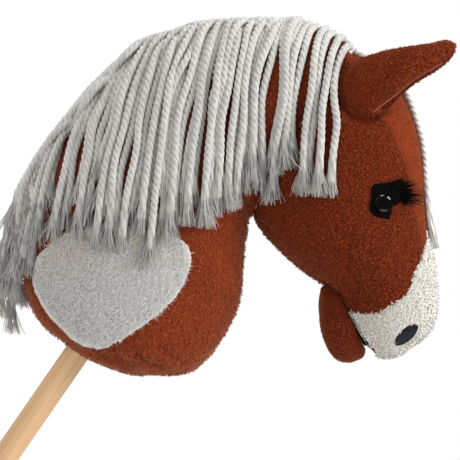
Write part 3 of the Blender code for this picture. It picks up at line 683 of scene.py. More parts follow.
# A frayed end: flat threads lie along the loosened strands, and spread past the end of the core
def addTassel(bundle, line, loose, past, threads=rope["threads"], flare=rope["flare"], stray=0.06):
    radius, flare = rope["radius"] * mm, flare * mm
    step = np.linalg.norm(line[-1] - line[-2])
    extra = int(past * mm / step) + 2
    way = line[-1] - line[-5]
    way /= np.linalg.norm(way)
    drop = np.array((0, 0, -0.10))
    tail = [line[-1] + (way + drop) * step * i for i in range(1, extra + 1)]
    whole = np.vstack([line, tail])
    ahead, side, up = alongFrames(whole)
    core = len(line) - 1
    first = max(1, core - int(loose * mm / step))
    lean = rng.normal(0, 1, 2) * 0.4                                # the whole end may lean a little
    if stray:
        flare *= rng.uniform(0.55, 1.7)
    for _ in range(threads):
        start = rng.integers(first, max(first + 1, core - 3))
        end = min(len(whole) - 1, core + int(extra * rng.uniform(0.5, 1.0)))
        rows = np.unique(np.linspace(start, end, 7).astype(int))
        if len(rows) < 4:
            continue
        t = np.clip((rows - start) / max(end - start, 1), 0, 1)
        over = np.clip((rows - core + rope["opens"]) / (extra + rope["opens"]), 0, 1)
        turn = rng.uniform(0, math.tau) + np.linspace(0, rng.uniform(-1.1, 0.3), len(rows))
        out = radius * (0.90 + 0.14 * t + rng.uniform(-0.06, 0.10)) * (1 - 0.25 * (t == 0))
        out = out + flare * over ** 1.6 * rng.uniform(0.2, 1.8)
        if rng.uniform() < 0.25:                                     # an inner thread
            out = out * rng.uniform(0.2, 0.8)
        radial = np.cos(turn)[:, None] * side[rows] + np.sin(turn)[:, None] * up[rows]
        bias = (lean[0] * side[rows] + lean[1] * up[rows]) * (over ** 1.5)[:, None] * flare
        path = whole[rows] + radial * out[:, None] + bias
        if rng.uniform() < stray:                                    # a stray thread
            path = path + radial * (over ** 1.3)[:, None] * rng.uniform(2, 9) * mm
        addStrip(bundle, path, radial, rope["threadWidth"] * mm * rng.uniform(0.7, 1.25))


# A flat thread whose broad face looks outward
def addStrip(bundle, path, outward, width):
    ahead = unitRows(np.gradient(path, axis=0), 1e-12)
    across = unitRows(np.cross(ahead, outward), 1e-12)
    lift = np.cross(across, ahead)
    narrow = np.linspace(1, 0.7, len(path))[:, None] * width / 2
    rings = np.stack([path - across * narrow, path - lift * narrow * 0.9, path + across * narrow], 1)
    u = np.repeat(np.array([[0.05, 0.15, 0.25]]), len(path), 0)
    v = np.repeat(np.linspace(0, 0.05, len(path))[:, None], 3, 1)
    bundle.addGrid(rings, (u, v), 1)


# Forelock: two free cords down the far side of the forehead

forelock = {
    "diameter": 0.007,
    "routes": {
        "forelockCord1": [
            (0.58649, 0.006, 0.75262), (0.60131, 0.00884, 0.74622), (0.61502, 0.00923, 0.73731),
            (0.62684, 0.00867, 0.72599), (0.63623, 0.00779, 0.71261), (0.64237, 0.00664, 0.69747),
            (0.64726, 0.00573, 0.68185), (0.65133, 0.00521, 0.66597), (0.65355, 0.00461, 0.64975),
            (0.65437, 0.00403, 0.63338), (0.65589, 0.00401, 0.61705), (0.6574, 0.0041, 0.60073),
            (0.6593, 0.00417, 0.58444), (0.66194, 0.00458, 0.56826)],
        "forelockCord2": [
            (0.58449, 0.0145, 0.75162), (0.59802, 0.01715, 0.74586), (0.6107, 0.01781, 0.73805),
            (0.62195, 0.01737, 0.72824), (0.6314, 0.01671, 0.7167), (0.63826, 0.01579, 0.70349),
            (0.64312, 0.01482, 0.68939), (0.64751, 0.01425, 0.67512), (0.65087, 0.01385, 0.66056),
            (0.65248, 0.01331, 0.64572), (0.65337, 0.01291, 0.63081), (0.65457, 0.01293, 0.61591),
            (0.65581, 0.013, 0.60101), (0.65751, 0.01306, 0.58616)],
    },
    "loose": {"forelockCord1": 66, "forelockCord2": 48},      # mm of untwisted strands at the end
}


def makeForelock(number):
    name = "forelockCord" + str(number)
    line = smoothLine(forelock["routes"][name], 60)
    loose = forelock["loose"][name]
    bundle = Bundle()
    fine = addRope(bundle, line, loose * mm)
    addTassel(bundle, fine, loose, 2, threads=90, flare=0.5, stray=0)
    piece = bundle.finish(name)
    dress(piece, [finishes["forelock"], finishes["thread"]], "head", "forelock_cord_" + str(number),
          slot="white_cotton")


makeForelock(1)
makeForelock(2)
print("forelock made")


# The stuffed skin: neck and head in one, then parted along the seams

skin = {
    "neck": {
        "back": [(-10, 4), (-38, 28), (-54, 80), (-49, 138), (-24, 194), (16, 248), (68, 289), (130, 306),
                 (196, 308), (252, 292)],
        "front": [(62, -24), (108, -19), (150.5, 39), (158, 100), (166, 140), (184, 164), (202, 184),
                  (221, 199), (242, 213), (258, 252)],
        "width": [62, 104, 126, 126, 123, 116, 108, 101, 88, 56],
        "caps": (5, 4)},
    "face": {
        "back": [(240, 276), (206, 249), (178, 211), (162, 170), (165, 128.5), (191, 94.5), (217, 72),
                 (238.5, 57), (250.5, 36), (264.5, 12), (281, -2.5)],
        "front": [(270, 273), (301, 250), (319, 212), (325.5, 178), (328, 142), (331, 109), (337, 84),
                  (340, 62), (340, 40), (333.5, 18), (312, 0.5)],
        "width": [58, 89, 100, 110, 116, 112, 97, 84, 77, 66, 40],
        "caps": (6, 6)},
    "capShare": 0.06,
    "voxel": 2.1,
    "rounds": 7,
    "lumps": 1.1,
}
seams = {
    "neckEdge": [(150, -60), (158, 60), (165, 126), (178, 160), (205, 205), (235, 262), (252, 310),
                 (256, 360)],
    "throat": [(173.9, 121.6), (186, 104.5), (202, 83.6), (217.6, 70.3), (233.7, 63.7)],
    "forehead": [(240, 300), (252, 276), (268, 248), (281, 225), (291, 214), (298, 200), (310, 171),
                 (313, 152), (318, 128), (324, 104), (334, 80)],
    "blaze": [(352, 150), (333, 112), (327, 98), (322, 84), (317, 74), (311, 55), (304, 49), (295, 43),
              (284, 37), (268, 35), (252, 39), (236, 42)],
    "dimple": [(254, 85), (253, 81), (254.6, 77.5)],
    "ridge": [(250.5, 87), (248, 81), (250, 75.5), (255, 72)],
    "spot": [(285.5, 60.5), (286.5, 59.5)],
    "earFoot": [(244, 240), (248, 230), (257, 221.5), (269, 217.5), (281, 219), (291, 226)],
    "lip": [(249.5, 38), (255.5, 29), (262, 20), (268.5, 10), (275, 2), (281, -3)],
    "gap": 0.3,
    # painted shade in the seams' grooves, the throat's crease, the dimple and the spot; a painted shadow
    # under the ear's foot; a painted highlight on the cheek's ridge
    # width, height pushed out in mm, how much painted shade (below 0 a painted highlight), on the cheeks
    # only, points of the smooth curve
    "marks": {"throat": (3.0, -2.4, 0.95, True, 30), "forehead": (2.0, -0.6, 0.30, False, 60),
              "blaze": (2.2, -0.7, 0.20, False, 60), "neckEdge": (2.5, -1.0, 0.5, False, 60),
              "dimple": (2.6, -1.9, 0.12, True, None), "ridge": (1.8, 1.0, -0.45, True, None),
              "spot": (1.9, -1.2, 0.6, True, None), "earFoot": (3.4, -1.6, 0.8, True, None)},
    # where the neck is gathered: width, depth and line
    "puckers": [(3.0, 2.4, [(14, 4), (24, -4), (34, -8)]), (3.2, 2.8, [(34, 0), (42, -9), (56, -14)]),
                (3.0, 2.6, [(56, -2), (66, -12), (80, -15)]), (3.2, 1.8, [(78, 4), (90, -6), (100, -10)]),
                (3.5, 1.4, [(2, 14), (4, 24), (2, 34)])],
}


# A sphere whose rows are drawn out along the stations, like a stuffed tube
def stuffedForm(name, back, front, width, caps):
    piece = ball(name, 1, (0, 0, 0), 72, 120)
    points = pointsOf(piece)
    polar = np.arccos(np.clip(points[:, 2], -1, 1)) / math.pi
    turn = np.arctan2(points[:, 1], points[:, 0])
    stations = smoothLine(np.column_stack([back, front, width]), 200)
    cap = skin["capShare"]
    place = np.clip((polar - cap) / (1 - 2 * cap), 0, 1) * (len(stations) - 1)
    low = np.minimum(place.astype(int), len(stations) - 2)
    t = (place - low)[:, None]
    at = stations[low] * (1 - t) + stations[low + 1] * t
    centre, half, wide = (at[:, 0:2] + at[:, 2:4]) / 2, (at[:, 2:4] - at[:, 0:2]) / 2, at[:, 4]
    inside = np.minimum(polar, 1 - polar) / cap
    reach = np.where(inside < 1, np.sin(np.clip(inside, 0, 1) * math.pi / 2), 1)
    rise = np.where(inside < 1, np.cos(np.clip(inside, 0, 1) * math.pi / 2), 0)
    middles = (stations[:, 0:2] + stations[:, 2:4]) / 2
    startWay, endWay = unitRows(np.array([middles[0] - middles[6], middles[-1] - middles[-7]]))
    push = np.where((polar < 0.5)[:, None], startWay * caps[0], endWay * caps[1]) * rise[:, None]
    flat = centre + half * (np.cos(turn) * reach)[:, None] + push
    y = wide / 2 * np.sin(turn) * reach
    setPoints(piece, np.column_stack([flat[:, 0], y, flat[:, 1]]) * mm + pocketMouth)
    return editAll(piece, bpy.ops.mesh.remove_doubles, threshold=1e-6)


def makeSkin():
    pickOnly(*[stuffedForm(name + "Form", **skin[name]) for name in ("neck", "face")])
    bpy.ops.object.join()
    whole = bpy.context.object
    remesh(whole, skin["voxel"], skin["rounds"])
    return whole


# 1 on a line, falling off smoothly to its sides
def hatch(points, line, width):
    return np.exp(-(distanceTo(points, np.array(line, float)) / width) ** 2)


# Seams, dimples, puckers and the unevenness of stuffing, pushed into the skin, with painted shade in the
# hollows and a painted highlight on the ridge
def shapeSkin(whole):
    points, normals = pointsOf(whole), normalsOf(whole)
    side = toHead(points)[:, [0, 2]]
    facing = np.clip(np.abs(normals[:, 1]) * 1.6, 0, 1)
    lumps = np.array([noise.noise(Vector(p) * 22) + 0.5 * noise.noise(Vector(p) * 60) for p in points])
    push = skin["lumps"] * lumps
    shadeMark = np.zeros(len(points))
    for name, (width, height, dark, onCheek, count) in seams["marks"].items():
        line = smoothLine(seams[name], count) if count else seams[name]
        share = hatch(side, line, width) * (facing if onCheek else 1)
        push += height * share
        shadeMark += dark * share
    for width, depth, line in seams["puckers"]:
        pucker = hatch(side, smoothLine(line, 12), width) * facing
        push -= depth * pucker
        # painted shade in each gather
        shadeMark += 0.35 * pucker
    setPoints(whole, points + normals * (push * mm)[:, None])
    paintShade(whole, np.clip(shadeMark, -0.5, 1))


def region(name, edge, beyond, offset=0.0):
    return sidePrism(name, shiftedLine(smoothLine(edge, 60), offset).tolist() + beyond)


whole = makeSkin()
print("skin remeshed:", len(whole.data.polygons), "faces")
shapeSkin(whole)
skinTree = treeOf(whole)


# Where a line across the horse first meets the skin on one side, in mm, as world point and normal
def skinAt(x, z, side):
    start = atHead(x, side * 400, z)
    hit, normal, _, _ = skinTree.ray_cast(start, Vector((0, -side, 0)))
    return hit, normal


eye = {"place": (287, 139), "diameter": 18.8, "height": 8.0, "lift": 2.0, "stem": 2.5, "stemLength": 13.0,
       "seat": {"Near": ((0.287, -0.049796, 0.139), (0.27592, -0.95854, 0.07123)),
                "Far": ((0.287, 0.049796, 0.139), (0.27592, 0.95854, 0.07123))},
       "washerRoom": (8.1, 2.6, -8.0), "stemRoom": (2.8, 26.8)}
earPivot = {"Near": (263, -38.30, 248), "Far": (263, 38.30, 248)}
# radius, length, and middle along the stick from the pocket's mouth
pocket = {"sleeveBore": (14.45, 231, 127.2), "stickBore": (12.45, 140, -40), "earSocket": 9.8}


def eyeSeat(word):
    spot, normal = eye["seat"][word]
    place = Vector(pocketMouth) + Vector(spot)
    return Matrix.Translation(place) @ Vector(normal).to_track_quat("Z", "Y").to_matrix().to_4x4()


# Room for the stick with its sleeve, the ears' roots, and the eyes' stems with their washers
def cutSkinHoles(whole):
    for name in ("sleeveBore", "stickBore"):
        radius, length, middle = pocket[name]
        place = Matrix.Translation(Vector(pocketMouth) + stickWay * middle * mm) @ stickTurn
        carve(whole, rod(name, radius * mm, length * mm, place))
    for word in sideSign:
        carve(whole, ball("earSocket", pocket["earSocket"] * mm, atHead(*earPivot[word])))
        seat = eyeSeat(word)
        radius, length, middle = eye["washerRoom"]
        place = seat @ Matrix.Translation((0, 0, middle * mm))
        carve(whole, rod("washerRoom", radius * mm, length * mm, place, 32))
        radius, length = eye["stemRoom"]
        carve(whole, rod("stemRoom", radius * mm, length * mm, seat, 24))


earClear = copyOf(whole, "earClear")                # the skin a little grown, kept for the ears' room
setPoints(earClear, pointsOf(earClear) + normalsOf(earClear) * 1.2 * mm)
cutSkinHoles(whole)


# The pieces that the seams part the skin into, with a narrow gap between them
def partSkin(whole):
    gap = seams["gap"]
    neckBeyond = [(256, 420), (-200, 420), (-200, -160), (150, -160)]
    neck = copyOf(whole, "plushNeck")
    carve(neck, region("neckRegion", seams["neckEdge"], neckBeyond, gap / 2), "INTERSECT")
    face = whole
    face.name = "plushHead"
    carve(face, region("neckAway", seams["neckEdge"], neckBeyond, -gap / 2))
    parts = []
    for name, edge, beyond in (("plushMuzzle", "blaze", [(228, 42), (228, -60), (420, -60), (420, 150)]),
                               ("plushForehead", "forehead", [(420, 80), (420, 330), (240, 330)])):
        part = copyOf(face, name)
        parts.append(carve(part, region(edge + "Region", seams[edge], beyond), "INTERSECT"))
        carve(face, region(edge + "Away", seams[edge], beyond, -gap))
    return neck, face, parts[1], parts[0]


neck, head, gusset, muzzle = partSkin(whole)
for piece, name, node, slot in ((neck, "neck", "neck", "chestnut_plush"),
                                (head, "chestnut", "head", "chestnut_plush"),
                                (gusset, "forehead", "forehead_gusset", "forehead_plush"),
                                (muzzle, "white", "muzzle", "white_plush")):
    smoothShade(piece, 50)
    print(piece.name, len(piece.data.polygons), "faces")
    dress(piece, plushFinish[name], "head", node, slot=slot, padded=0.8)
print("skin parted")


# The corners of a piece's triangles, always in one order: Blender's own differs from run to run
def trianglesOf(piece):
    piece.data.calc_loop_triangles()
    corners = np.empty(len(piece.data.loop_triangles) * 3, np.int32)
    piece.data.loop_triangles.foreach_get("vertices", corners)
    spots = pointsOf(piece)[corners.reshape(-1, 3)]
    first = (np.round(spots / mm, 3) @ (1.0, 7.13, 51.7)).argmin(1)
    spots = spots[np.arange(len(spots))[:, None], (first[:, None] + np.arange(3)) % 3]
    order = np.lexsort(np.round(spots.reshape(-1, 9) / mm, 3).T)
    return spots[order].transpose(1, 0, 2)


# Short flat tufts of pile, set all over a piece; each is two faces long and bends over
def brush(name, piece, count, length, width, combed, finish, slot, body="head", spread=0.8, rise=0.4,
          onSkin=True, keep=None):
    a, b, c = trianglesOf(piece)
    cross = np.cross(b - a, c - a)
    area = np.linalg.norm(cross, axis=1)
    chosen = rng.choice(len(area), size=count, p=area / area.sum())
    first, second = np.sqrt(rng.uniform(0, 1, count))[:, None], rng.uniform(0, 1, count)[:, None]
    root = (1 - first) * a[chosen] + first * (1 - second) * b[chosen] + first * second * c[chosen]
    normal = cross[chosen] / area[chosen][:, None]
    good = np.ones(count, bool)
    if onSkin:
        for index, point in enumerate(root):
            hit, way, _, distance = skinTree.find_nearest(point)
            good[index] = distance < 0.35 * mm and way.dot(Vector(normal[index])) > 0.7
    if keep is not None:
        good &= keep(toHead(root))
    root, normal = root[good], normal[good]
    way = np.array(combed) + rng.normal(0, spread, root.shape)
    way = unitRows(way - normal * (way * normal).sum(1)[:, None])
    across = np.cross(way, normal)
    size = rng.uniform(*length, len(root))[:, None] * mm
    half = across * (rng.uniform(0.7, 1.3, len(root))[:, None] * width * mm / 2)
    curl = across * rng.normal(0, 0.25, len(root))[:, None] * size
    high = normal * size * rng.uniform(0.5, 1.4, len(root))[:, None] * rise
    rows = [(root - way * size * 0.15 - normal * 0.3 * mm, 1.0), (root + way * size * 0.42 + high, 0.9),
            (root + way * size * 0.85 + high * 0.75 + curl, 0.2)]
    points = np.stack([row + sign * half * share for row, share in rows for sign in (-1, 1)], 1)
    start = np.arange(len(root))[:, None] * 6
    faces = np.concatenate([start + np.array((0, 1, 3, 2)), start + np.array((2, 3, 5, 4))])
    tufts = meshPiece(name, points.reshape(-1, 3), faces.tolist())
    smoothShade(tufts)
    return dress(tufts, finishes[finish], body, slot=slot)


# x, z, half length, half height and slope
facePlaces = {"nostril": (310, 15, 15.5, 7.4, 42), "eye": (290, 142, 17.5, 17.5, 0),
              "ear": (269, 244, 26, 23, 20)}
bareLines = {"ridge": 1.5, "earFoot": 2.6, "lip": 2.2}      # half width


# Leaves bare the nostril, the felt with the eye, what the ear sweeps, the cheek's dimple and the lip
def clearOfFace(local):
    free = np.ones(len(local), bool)
    for x, z, long, high, slope in facePlaces.values():
        turn = math.radians(slope)
        along = (local[:, 0] - x) * math.cos(turn) + (local[:, 2] - z) * math.sin(turn)
        across = (local[:, 2] - z) * math.cos(turn) - (local[:, 0] - x) * math.sin(turn)
        free &= (along / long) ** 2 + (across / high) ** 2 > 1
    for name, width in bareLines.items():
        free &= distanceTo(local[:, [0, 2]], np.array(seams[name], float)) > width
    return free


blazeLine = smoothLine(seams["blaze"][2:-1], 80)


# Only the pile along the blaze's edge
def onBlazeEdge(local):
    return distanceTo(local[:, [0, 2]], blazeLine) < 1.8


brush("neckPile", neck, 33000, (2.2, 4.2), 1.0, (-0.2, 0, -0.7), "neckThread", "chestnut_plush")
brush("headPile", head, 26000, (2.2, 4.0), 1.0, (-0.3, 0, -0.5), "brownThread", "chestnut_plush",
      keep=clearOfFace)
brush("foreheadPile", gusset, 12000, (1.8, 3.0), 0.8, (0.4, 0, -0.9), "foreheadThread", "forehead_plush",
      rise=0.25, keep=clearOfFace)
brush("muzzlePile", muzzle, 14000, (2.4, 4.4), 0.9, (0.2, 0, -0.5), "creamThread", "white_plush", spread=1.2,
      rise=0.5, keep=clearOfFace)
brush("blazeEdgePile", head, 60000, (2.6, 5.0), 0.45, (1.1, 0, -0.7), "brownThread", "chestnut_plush",
      spread=0.5, keep=onBlazeEdge)
brush("blazeTopPile", gusset, 20000, (2.6, 5.0), 0.45, (0.9, 0, -1.0), "foreheadThread", "forehead_plush",
      spread=0.5, keep=onBlazeEdge)
print("pile brushed")


# Pieces that lie on the skin: they keep their height over it

cadSkin = cadCopy("cadSkin", "neck", "head", "forehead_gusset", "muzzle")
cadTree = treeOf(cadSkin)
dropPiece(cadSkin)


# Moves points from their height over the CAD skin to the same height over this one
def layOnSkin(points, lift=0.0):
    moved = []
    for point in points:
        point = Vector(point)
        hit, normal, _, _ = cadTree.find_nearest(point)
        height = (point - hit).dot(normal)
        base, way, _, _ = skinTree.find_nearest(hit)
        moved.append(base + way * (height + lift))
    return np.array([tuple(p) for p in moved])


# A rounded, remeshed copy of a CAD node; with a lift, it is laid on this skin
def softCopy(name, node, voxel, rounds, lift=None, ragged=0.0):
    piece = cadCopy(name, node)
    remesh(piece, voxel, rounds)
    if lift is not None:
        setPoints(piece, layOnSkin(pointsOf(piece), lift * mm))
    if ragged:
        points = pointsOf(piece)
        shift = np.array([noise.noise_vector(Vector(p) * 700) for p in points])
        setPoints(piece, points + shift * ragged * mm)
    smoothShade(piece)
    return piece


# CAD node, voxel, rounds of smoothing, lift and raggedness of the edge in mm, finish and slot
patches = {"eyeFelt": ("eye_patch", 0.7, 2, 0.1, 0.55, "felt", "black_felt"),
           "neckPatch": ("neck_patch", 1.6, 3, -0.6, 0.9, "grey", "grey_fluff")}

for word in sideSign:
    for name, (node, voxel, rounds, lift, ragged, finish, slot) in patches.items():
        node += "_" + word.lower()
        patch = softCopy(name + word, node, voxel, rounds, lift, ragged)
        dress(patch, plushFinish[finish], "head", node, slot=slot)

for name, node, body in (("upperMouthFelt", "mouth_lining_upper", "head"),
                         ("lowerMouthFelt", "mouth_lining_lower", "lower_jaw")):
    felt = softCopy(name, node, 0.6, 2)
    points = pointsOf(felt)
    points[:, 1] *= 20.5 / 22                                       # the plush hides its edges
    setPoints(felt, points)
    dress(felt, plushFinish["felt"], body, node, slot="black_felt")
print("felt and patches laid")


# Eyes

# A dome on a short straight rim, flat beneath, with its stem
def makeEye(word):
    piece = ball("eye" + word, 1, (0, 0, 0), 64, 40)
    points = pointsOf(piece)
    radius, lift, height, stem = eye["diameter"] / 2, eye["lift"], eye["height"], eye["stem"]
    rim = np.hypot(points[:, 0], points[:, 1])
    under, beyondStem = points[:, 2] < 0, rim > 0.5
    dome = lift + height * (0.20 + 0.80 * np.sqrt(np.clip(1 - rim ** 2, 0, 1)))
    base = lift + height * 0.12 * np.clip(rim * 8 - 7, 0, 1)
    high = np.where(under, np.where(beyondStem, base, lift - eye["stemLength"]), dome)
    flat = radius * (2 * rim - 1) * 0.98 + stem * (2 - 2 * rim)
    reach = np.where(under, np.where(beyondStem, flat, stem * rim * 2), radius * rim)
    scale = reach / np.maximum(rim, 1e-9)
    setPoints(piece, np.column_stack([points[:, 0] * scale, points[:, 1] * scale, high]) * mm)
    piece.data.transform(eyeSeat(word))
    smoothShade(piece, 40)
    dress(piece, finishes["gloss"], "head", "eye_" + word.lower(), slot="black_gloss")


for word in sideSign:
    makeEye(word)


# Lashes: many fine curved hairs from a band over the eye

lashes = {"band": [(294, 154.5), (300, 154), (304.5, 150), (306, 145), (305, 139)], "count": 60,
          "length": (12, 20), "short": (4, 9), "layers": 4, "corner": 12, "lean": 0.22,
          "overSkin": 2.4, "bandRadius": 1.1, "hairRadius": 0.33}


def makeLashes(word, side):
    bundle = Bundle()
    band = smoothLine(lashes["band"], lashes["count"])
    middle = np.array(eye["place"], float)
    roots = []
    for x, z in band:
        hit, normal = skinAt(x, z, side)
        roots.append((np.array(hit) + np.array(normal) * lashes["overSkin"] * mm, np.array(normal)))
    strip = np.array([p for p, _ in roots])
    addThread(bundle, smoothLine(strip, 24), lashes["bandRadius"] * mm, 8)
    for layer in range(lashes["layers"]):
        for index, (x, z) in enumerate(band):
            root, normal = roots[index]
            flat = np.array((x, z)) - middle
            flat /= np.linalg.norm(flat)
            lean = rng.normal(0, lashes["lean"])
            flat = np.array((flat[0] * math.cos(lean) - flat[1] * math.sin(lean),
                             flat[0] * math.sin(lean) + flat[1] * math.cos(lean)))
            out = np.array((flat[0], 0, flat[1])) * 0.9 + normal * rng.uniform(0.15, 0.6)
            out /= np.linalg.norm(out)
            length = rng.uniform(*lashes["length" if layer < 2 else "short"]) * mm
            if index < lashes["corner"]:                            # shorter at the inner corner
                length *= 0.45 + 0.045 * index
            t = np.linspace(0, 1, 7)[:, None]
            droop = np.array((0.35, side * 0.2, -0.75)) * t ** 2 * length * rng.uniform(0.1, 0.55)
            jitter = rng.normal(0, 0.6 + 0.5 * layer, 3) * mm * (1, 0.5, 1)
            line = root + jitter + out * length * t + droop
            addThread(bundle, line, lashes["hairRadius"] * mm, 4, taper=0.25)
    piece = bundle.finish("lashes" + word)
    dress(piece, finishes["lash"], "head", "lashes_" + word.lower(), slot="black_thread")


for word, side in sideSign.items():
    makeLashes(word, side)
print("eyes and lashes made")


# Nostrils: satin stitch, thread by thread

nostril = {"place": (310, 15), "length": 27, "height": 12.0, "slope": 42.0, "thread": 0.36,
           "stitchLean": 78.0, "overSkin": 0.1, "padding": 1.3}


def makeNostril(word, side):
    bundle = Bundle()
    slope, lean = math.radians(nostril["slope"]), math.radians(nostril["stitchLean"])
    ahead = np.array((math.cos(slope), math.sin(slope)))
    across = np.array((-math.sin(slope), math.cos(slope)))
    stitch = math.cos(lean) * ahead + math.sin(lean) * across
    a, b = nostril["length"] / 2, nostril["height"] / 2
    steps = int(nostril["length"] / (nostril["thread"] * 1.5))
    for index in range(steps):
        s = -a + (index + 0.5) * nostril["length"] / steps
        start = s * ahead
        # where the stitch line leaves the ellipse on both sides
        pa, pb = start @ ahead / a, start @ across / b
        da, db = stitch @ ahead / a, stitch @ across / b
        qa, qb, qc = da * da + db * db, 2 * (pa * da + pb * db), pa * pa + pb * pb - 1
        root = qb * qb - 4 * qa * qc
        if root <= 0:
            continue
        lows, highs = (-qb - math.sqrt(root)) / (2 * qa), (-qb + math.sqrt(root)) / (2 * qa)
        line = []
        for t in np.linspace(0, 1, 9):
            spot = start + stitch * (lows + (highs - lows) * t)
            spot = spot + np.array(nostril["place"], float)
            hit, normal = skinAt(spot[0], spot[1], side)
            height = nostril["overSkin"] + nostril["padding"] * math.sin(math.pi * t) ** 0.6
            height += rng.uniform(-0.05, 0.05)
            line.append(np.array(hit) + np.array(normal) * height * mm)
        addThread(bundle, np.array(line), nostril["thread"] * mm * rng.uniform(0.92, 1.1), 6)
    piece = bundle.finish("nostril" + word)
    dress(piece, finishes["satin"], "head", "nostril_" + word.lower(), slot="black_thread")


for word, side in sideSign.items():
    makeNostril(word, side)
print("nostrils stitched")


# Lower jaw

mouth = {
    "jawRim": 1.6,                           # how far the jaw's edge swells over the felt
    "jawRimWay": (0.88, 0, 0.47),
    "jawLumps": 0.35,
    "shade": (252, 22, 12, 16),              # darker in the middle of the jaw: x, z and half sizes
    "lipRadius": 1.6,
}


def makeJaw():
    jaw = softCopy("plushJaw", "lower_jaw", 1.4, 10)
    points, normals = pointsOf(jaw), normalsOf(jaw)
    local = toHead(points)
    rim = np.clip((np.abs(local[:, 1]) - 15) / 3, 0, 1) * np.clip((local[:, 2] + 1) / 9, 0, 1)
    toMouth = np.clip(normals[:, 0] * 1.8, 0, 1)
    points = points + (rim * toMouth * mouth["jawRim"] * mm)[:, None] * np.array(mouth["jawRimWay"])
    lumps = np.array([noise.noise(Vector(p) * 70) for p in points])
    setPoints(jaw, points + normals * (lumps * mouth["jawLumps"] * mm)[:, None])
    local = toHead(pointsOf(jaw))
    x, z, halfLong, halfHigh = mouth["shade"]
    middle = np.exp(-((local[:, 0] - x) / halfLong) ** 2 - ((local[:, 2] - z) / halfHigh) ** 2)
    paintShade(jaw, 0.55 * middle)
    dress(jaw, plushFinish["jaw"], "lower_jaw", "lower_jaw", slot="chestnut_plush", padded=0.7)
    brush("jawPile", jaw, 6000, (1.8, 3.2), 0.7, (-0.2, 0, -0.6), "brownThread", "chestnut_plush",
          "lower_jaw", onSkin=False, rise=0.25, keep=lambda local: (local[:, 0] < 262) & (local[:, 2] < 30))


makeJaw()


# A brown plush lip along the muzzle's back edge
def makeLip(word, side):
    bundle = Bundle()
    line = []
    for x, z in smoothLine(seams["lip"], 30):
        hit, normal = None, None
        while hit is None or normal.y * side < 0.35:                    # inwards from the muzzle's back edge
            hit, normal = skinAt(x, z, side)
            x += 0.5
        line.append(np.array(hit) + np.array(normal) * 0.5 * mm)
    line = smoothLine(np.array(line)[::4], 40)
    addThread(bundle, line, mouth["lipRadius"] * mm, 12, taper=0.7)
    lip = bundle.finish("plushLip" + word)
    dress(lip, plushFinish["jaw"], "head", slot="chestnut_plush")


for word, side in sideSign.items():
    makeLip(word, side)


# Ears

ear = {
    "upper": [(253, 262), (266, 275), (281, 281), (302, 285.5), (331, 289.5), (349, 292), (356, 289)],
    "lower": [(247, 241), (256, 228), (270, 223), (290, 235), (319, 258), (345, 273), (354, 279.5)],
    "depth": [17, 25, 26, 23, 18, 12, 8],
    "spread": 13,
    "wall": 2.3,
    # cross-section in shares of the leaf's height and half depth, from the near edge over the fold
    # to the far edge
    "section": [(0.0, -0.50), (0.08, -0.80), (0.32, -1.0), (0.62, -0.95), (0.87, -0.62), (1.0, 0.0),
                (0.87, 0.62), (0.62, 0.92), (0.32, 0.95), (0.04, 0.78), (-0.20, 0.52)],
    "crease": [(264, 232), (272, 241), (284, 256), (300, 275)],
    "creaseDepth": 1.4,
    "root": ((264, 41.5, 246), -20, (14.5, 9.0, 18.5)),      # middle, turn in degrees and half sizes
    "ball": 9.0,
    "swings": (math.radians(18), 0, -math.radians(10)),
    "seamRows": range(33, 93, 3),
    "bareRoot": 15,
    "bareRim": 1.6,
    "palerTip": (280, 60),              # where paler tufts of painted light begin, and over what length they thicken
}
earRows = smoothLine(np.column_stack([ear["upper"], ear["lower"], ear["depth"]]), 101)


# A leaf folded lengthwise: rows from root to tip, each a C of even thickness
def foldedLeaf(name, side, first, last, inset, wall, trim, rows=70):
    points = []
    for place in np.linspace(first, last, rows):
        at = earRows[int(round(place * 100))]
        high, low = at[0:2], at[2:4]
        height, half = np.linalg.norm(high - low), at[4] / 2
        up = (high - low) / height
        shape = smoothLine(np.array(ear["section"]) * (height, half), 40)
        ahead = unitRows(np.gradient(shape, axis=0))
        inward = np.column_stack([ahead[:, 1], -ahead[:, 0]])
        inward *= np.sign(((np.array((height * 0.4, 0)) - shape) * inward).sum(1).sum())
        run = runOf(shape)
        kept = (run >= trim) & (run <= run[-1] - trim)
        shape, inward, ahead = shape[kept], inward[kept], ahead[kept]
        spots = np.linspace(0, len(shape) - 1, 32).round().astype(int)
        outer, inner = shape[spots] + inward[spots] * inset, shape[spots] + inward[spots] * (inset + wall)
        lipEnd = (outer[-1] + inner[-1]) / 2 + ahead[-1] * wall * 0.45
        lipStart = (outer[0] + inner[0]) / 2 - ahead[0] * wall * 0.45
        loop = np.vstack([outer, lipEnd, inner[::-1], lipStart])
        flat = low + loop[:, :1] * up
        y = side * (-earPivot["Near"][1] + ear["spread"] * place) - side * loop[:, 1]
        points.append(np.column_stack([flat[:, 0], y, flat[:, 1]]))
    count = len(points[0])
    index = np.arange(rows * count).reshape(rows, count)
    a, b = index[:-1], index[1:]
    faces = np.stack([a, np.roll(a, -1, 1), np.roll(b, -1, 1), b], -1).reshape(-1, 4).tolist()
    faces += [index[0][::-1].tolist(), index[-1].tolist()]
    leaf = meshPiece(name, np.vstack(points) * mm + pocketMouth, faces)
    return editAll(leaf, bpy.ops.mesh.quads_convert_to_tris)


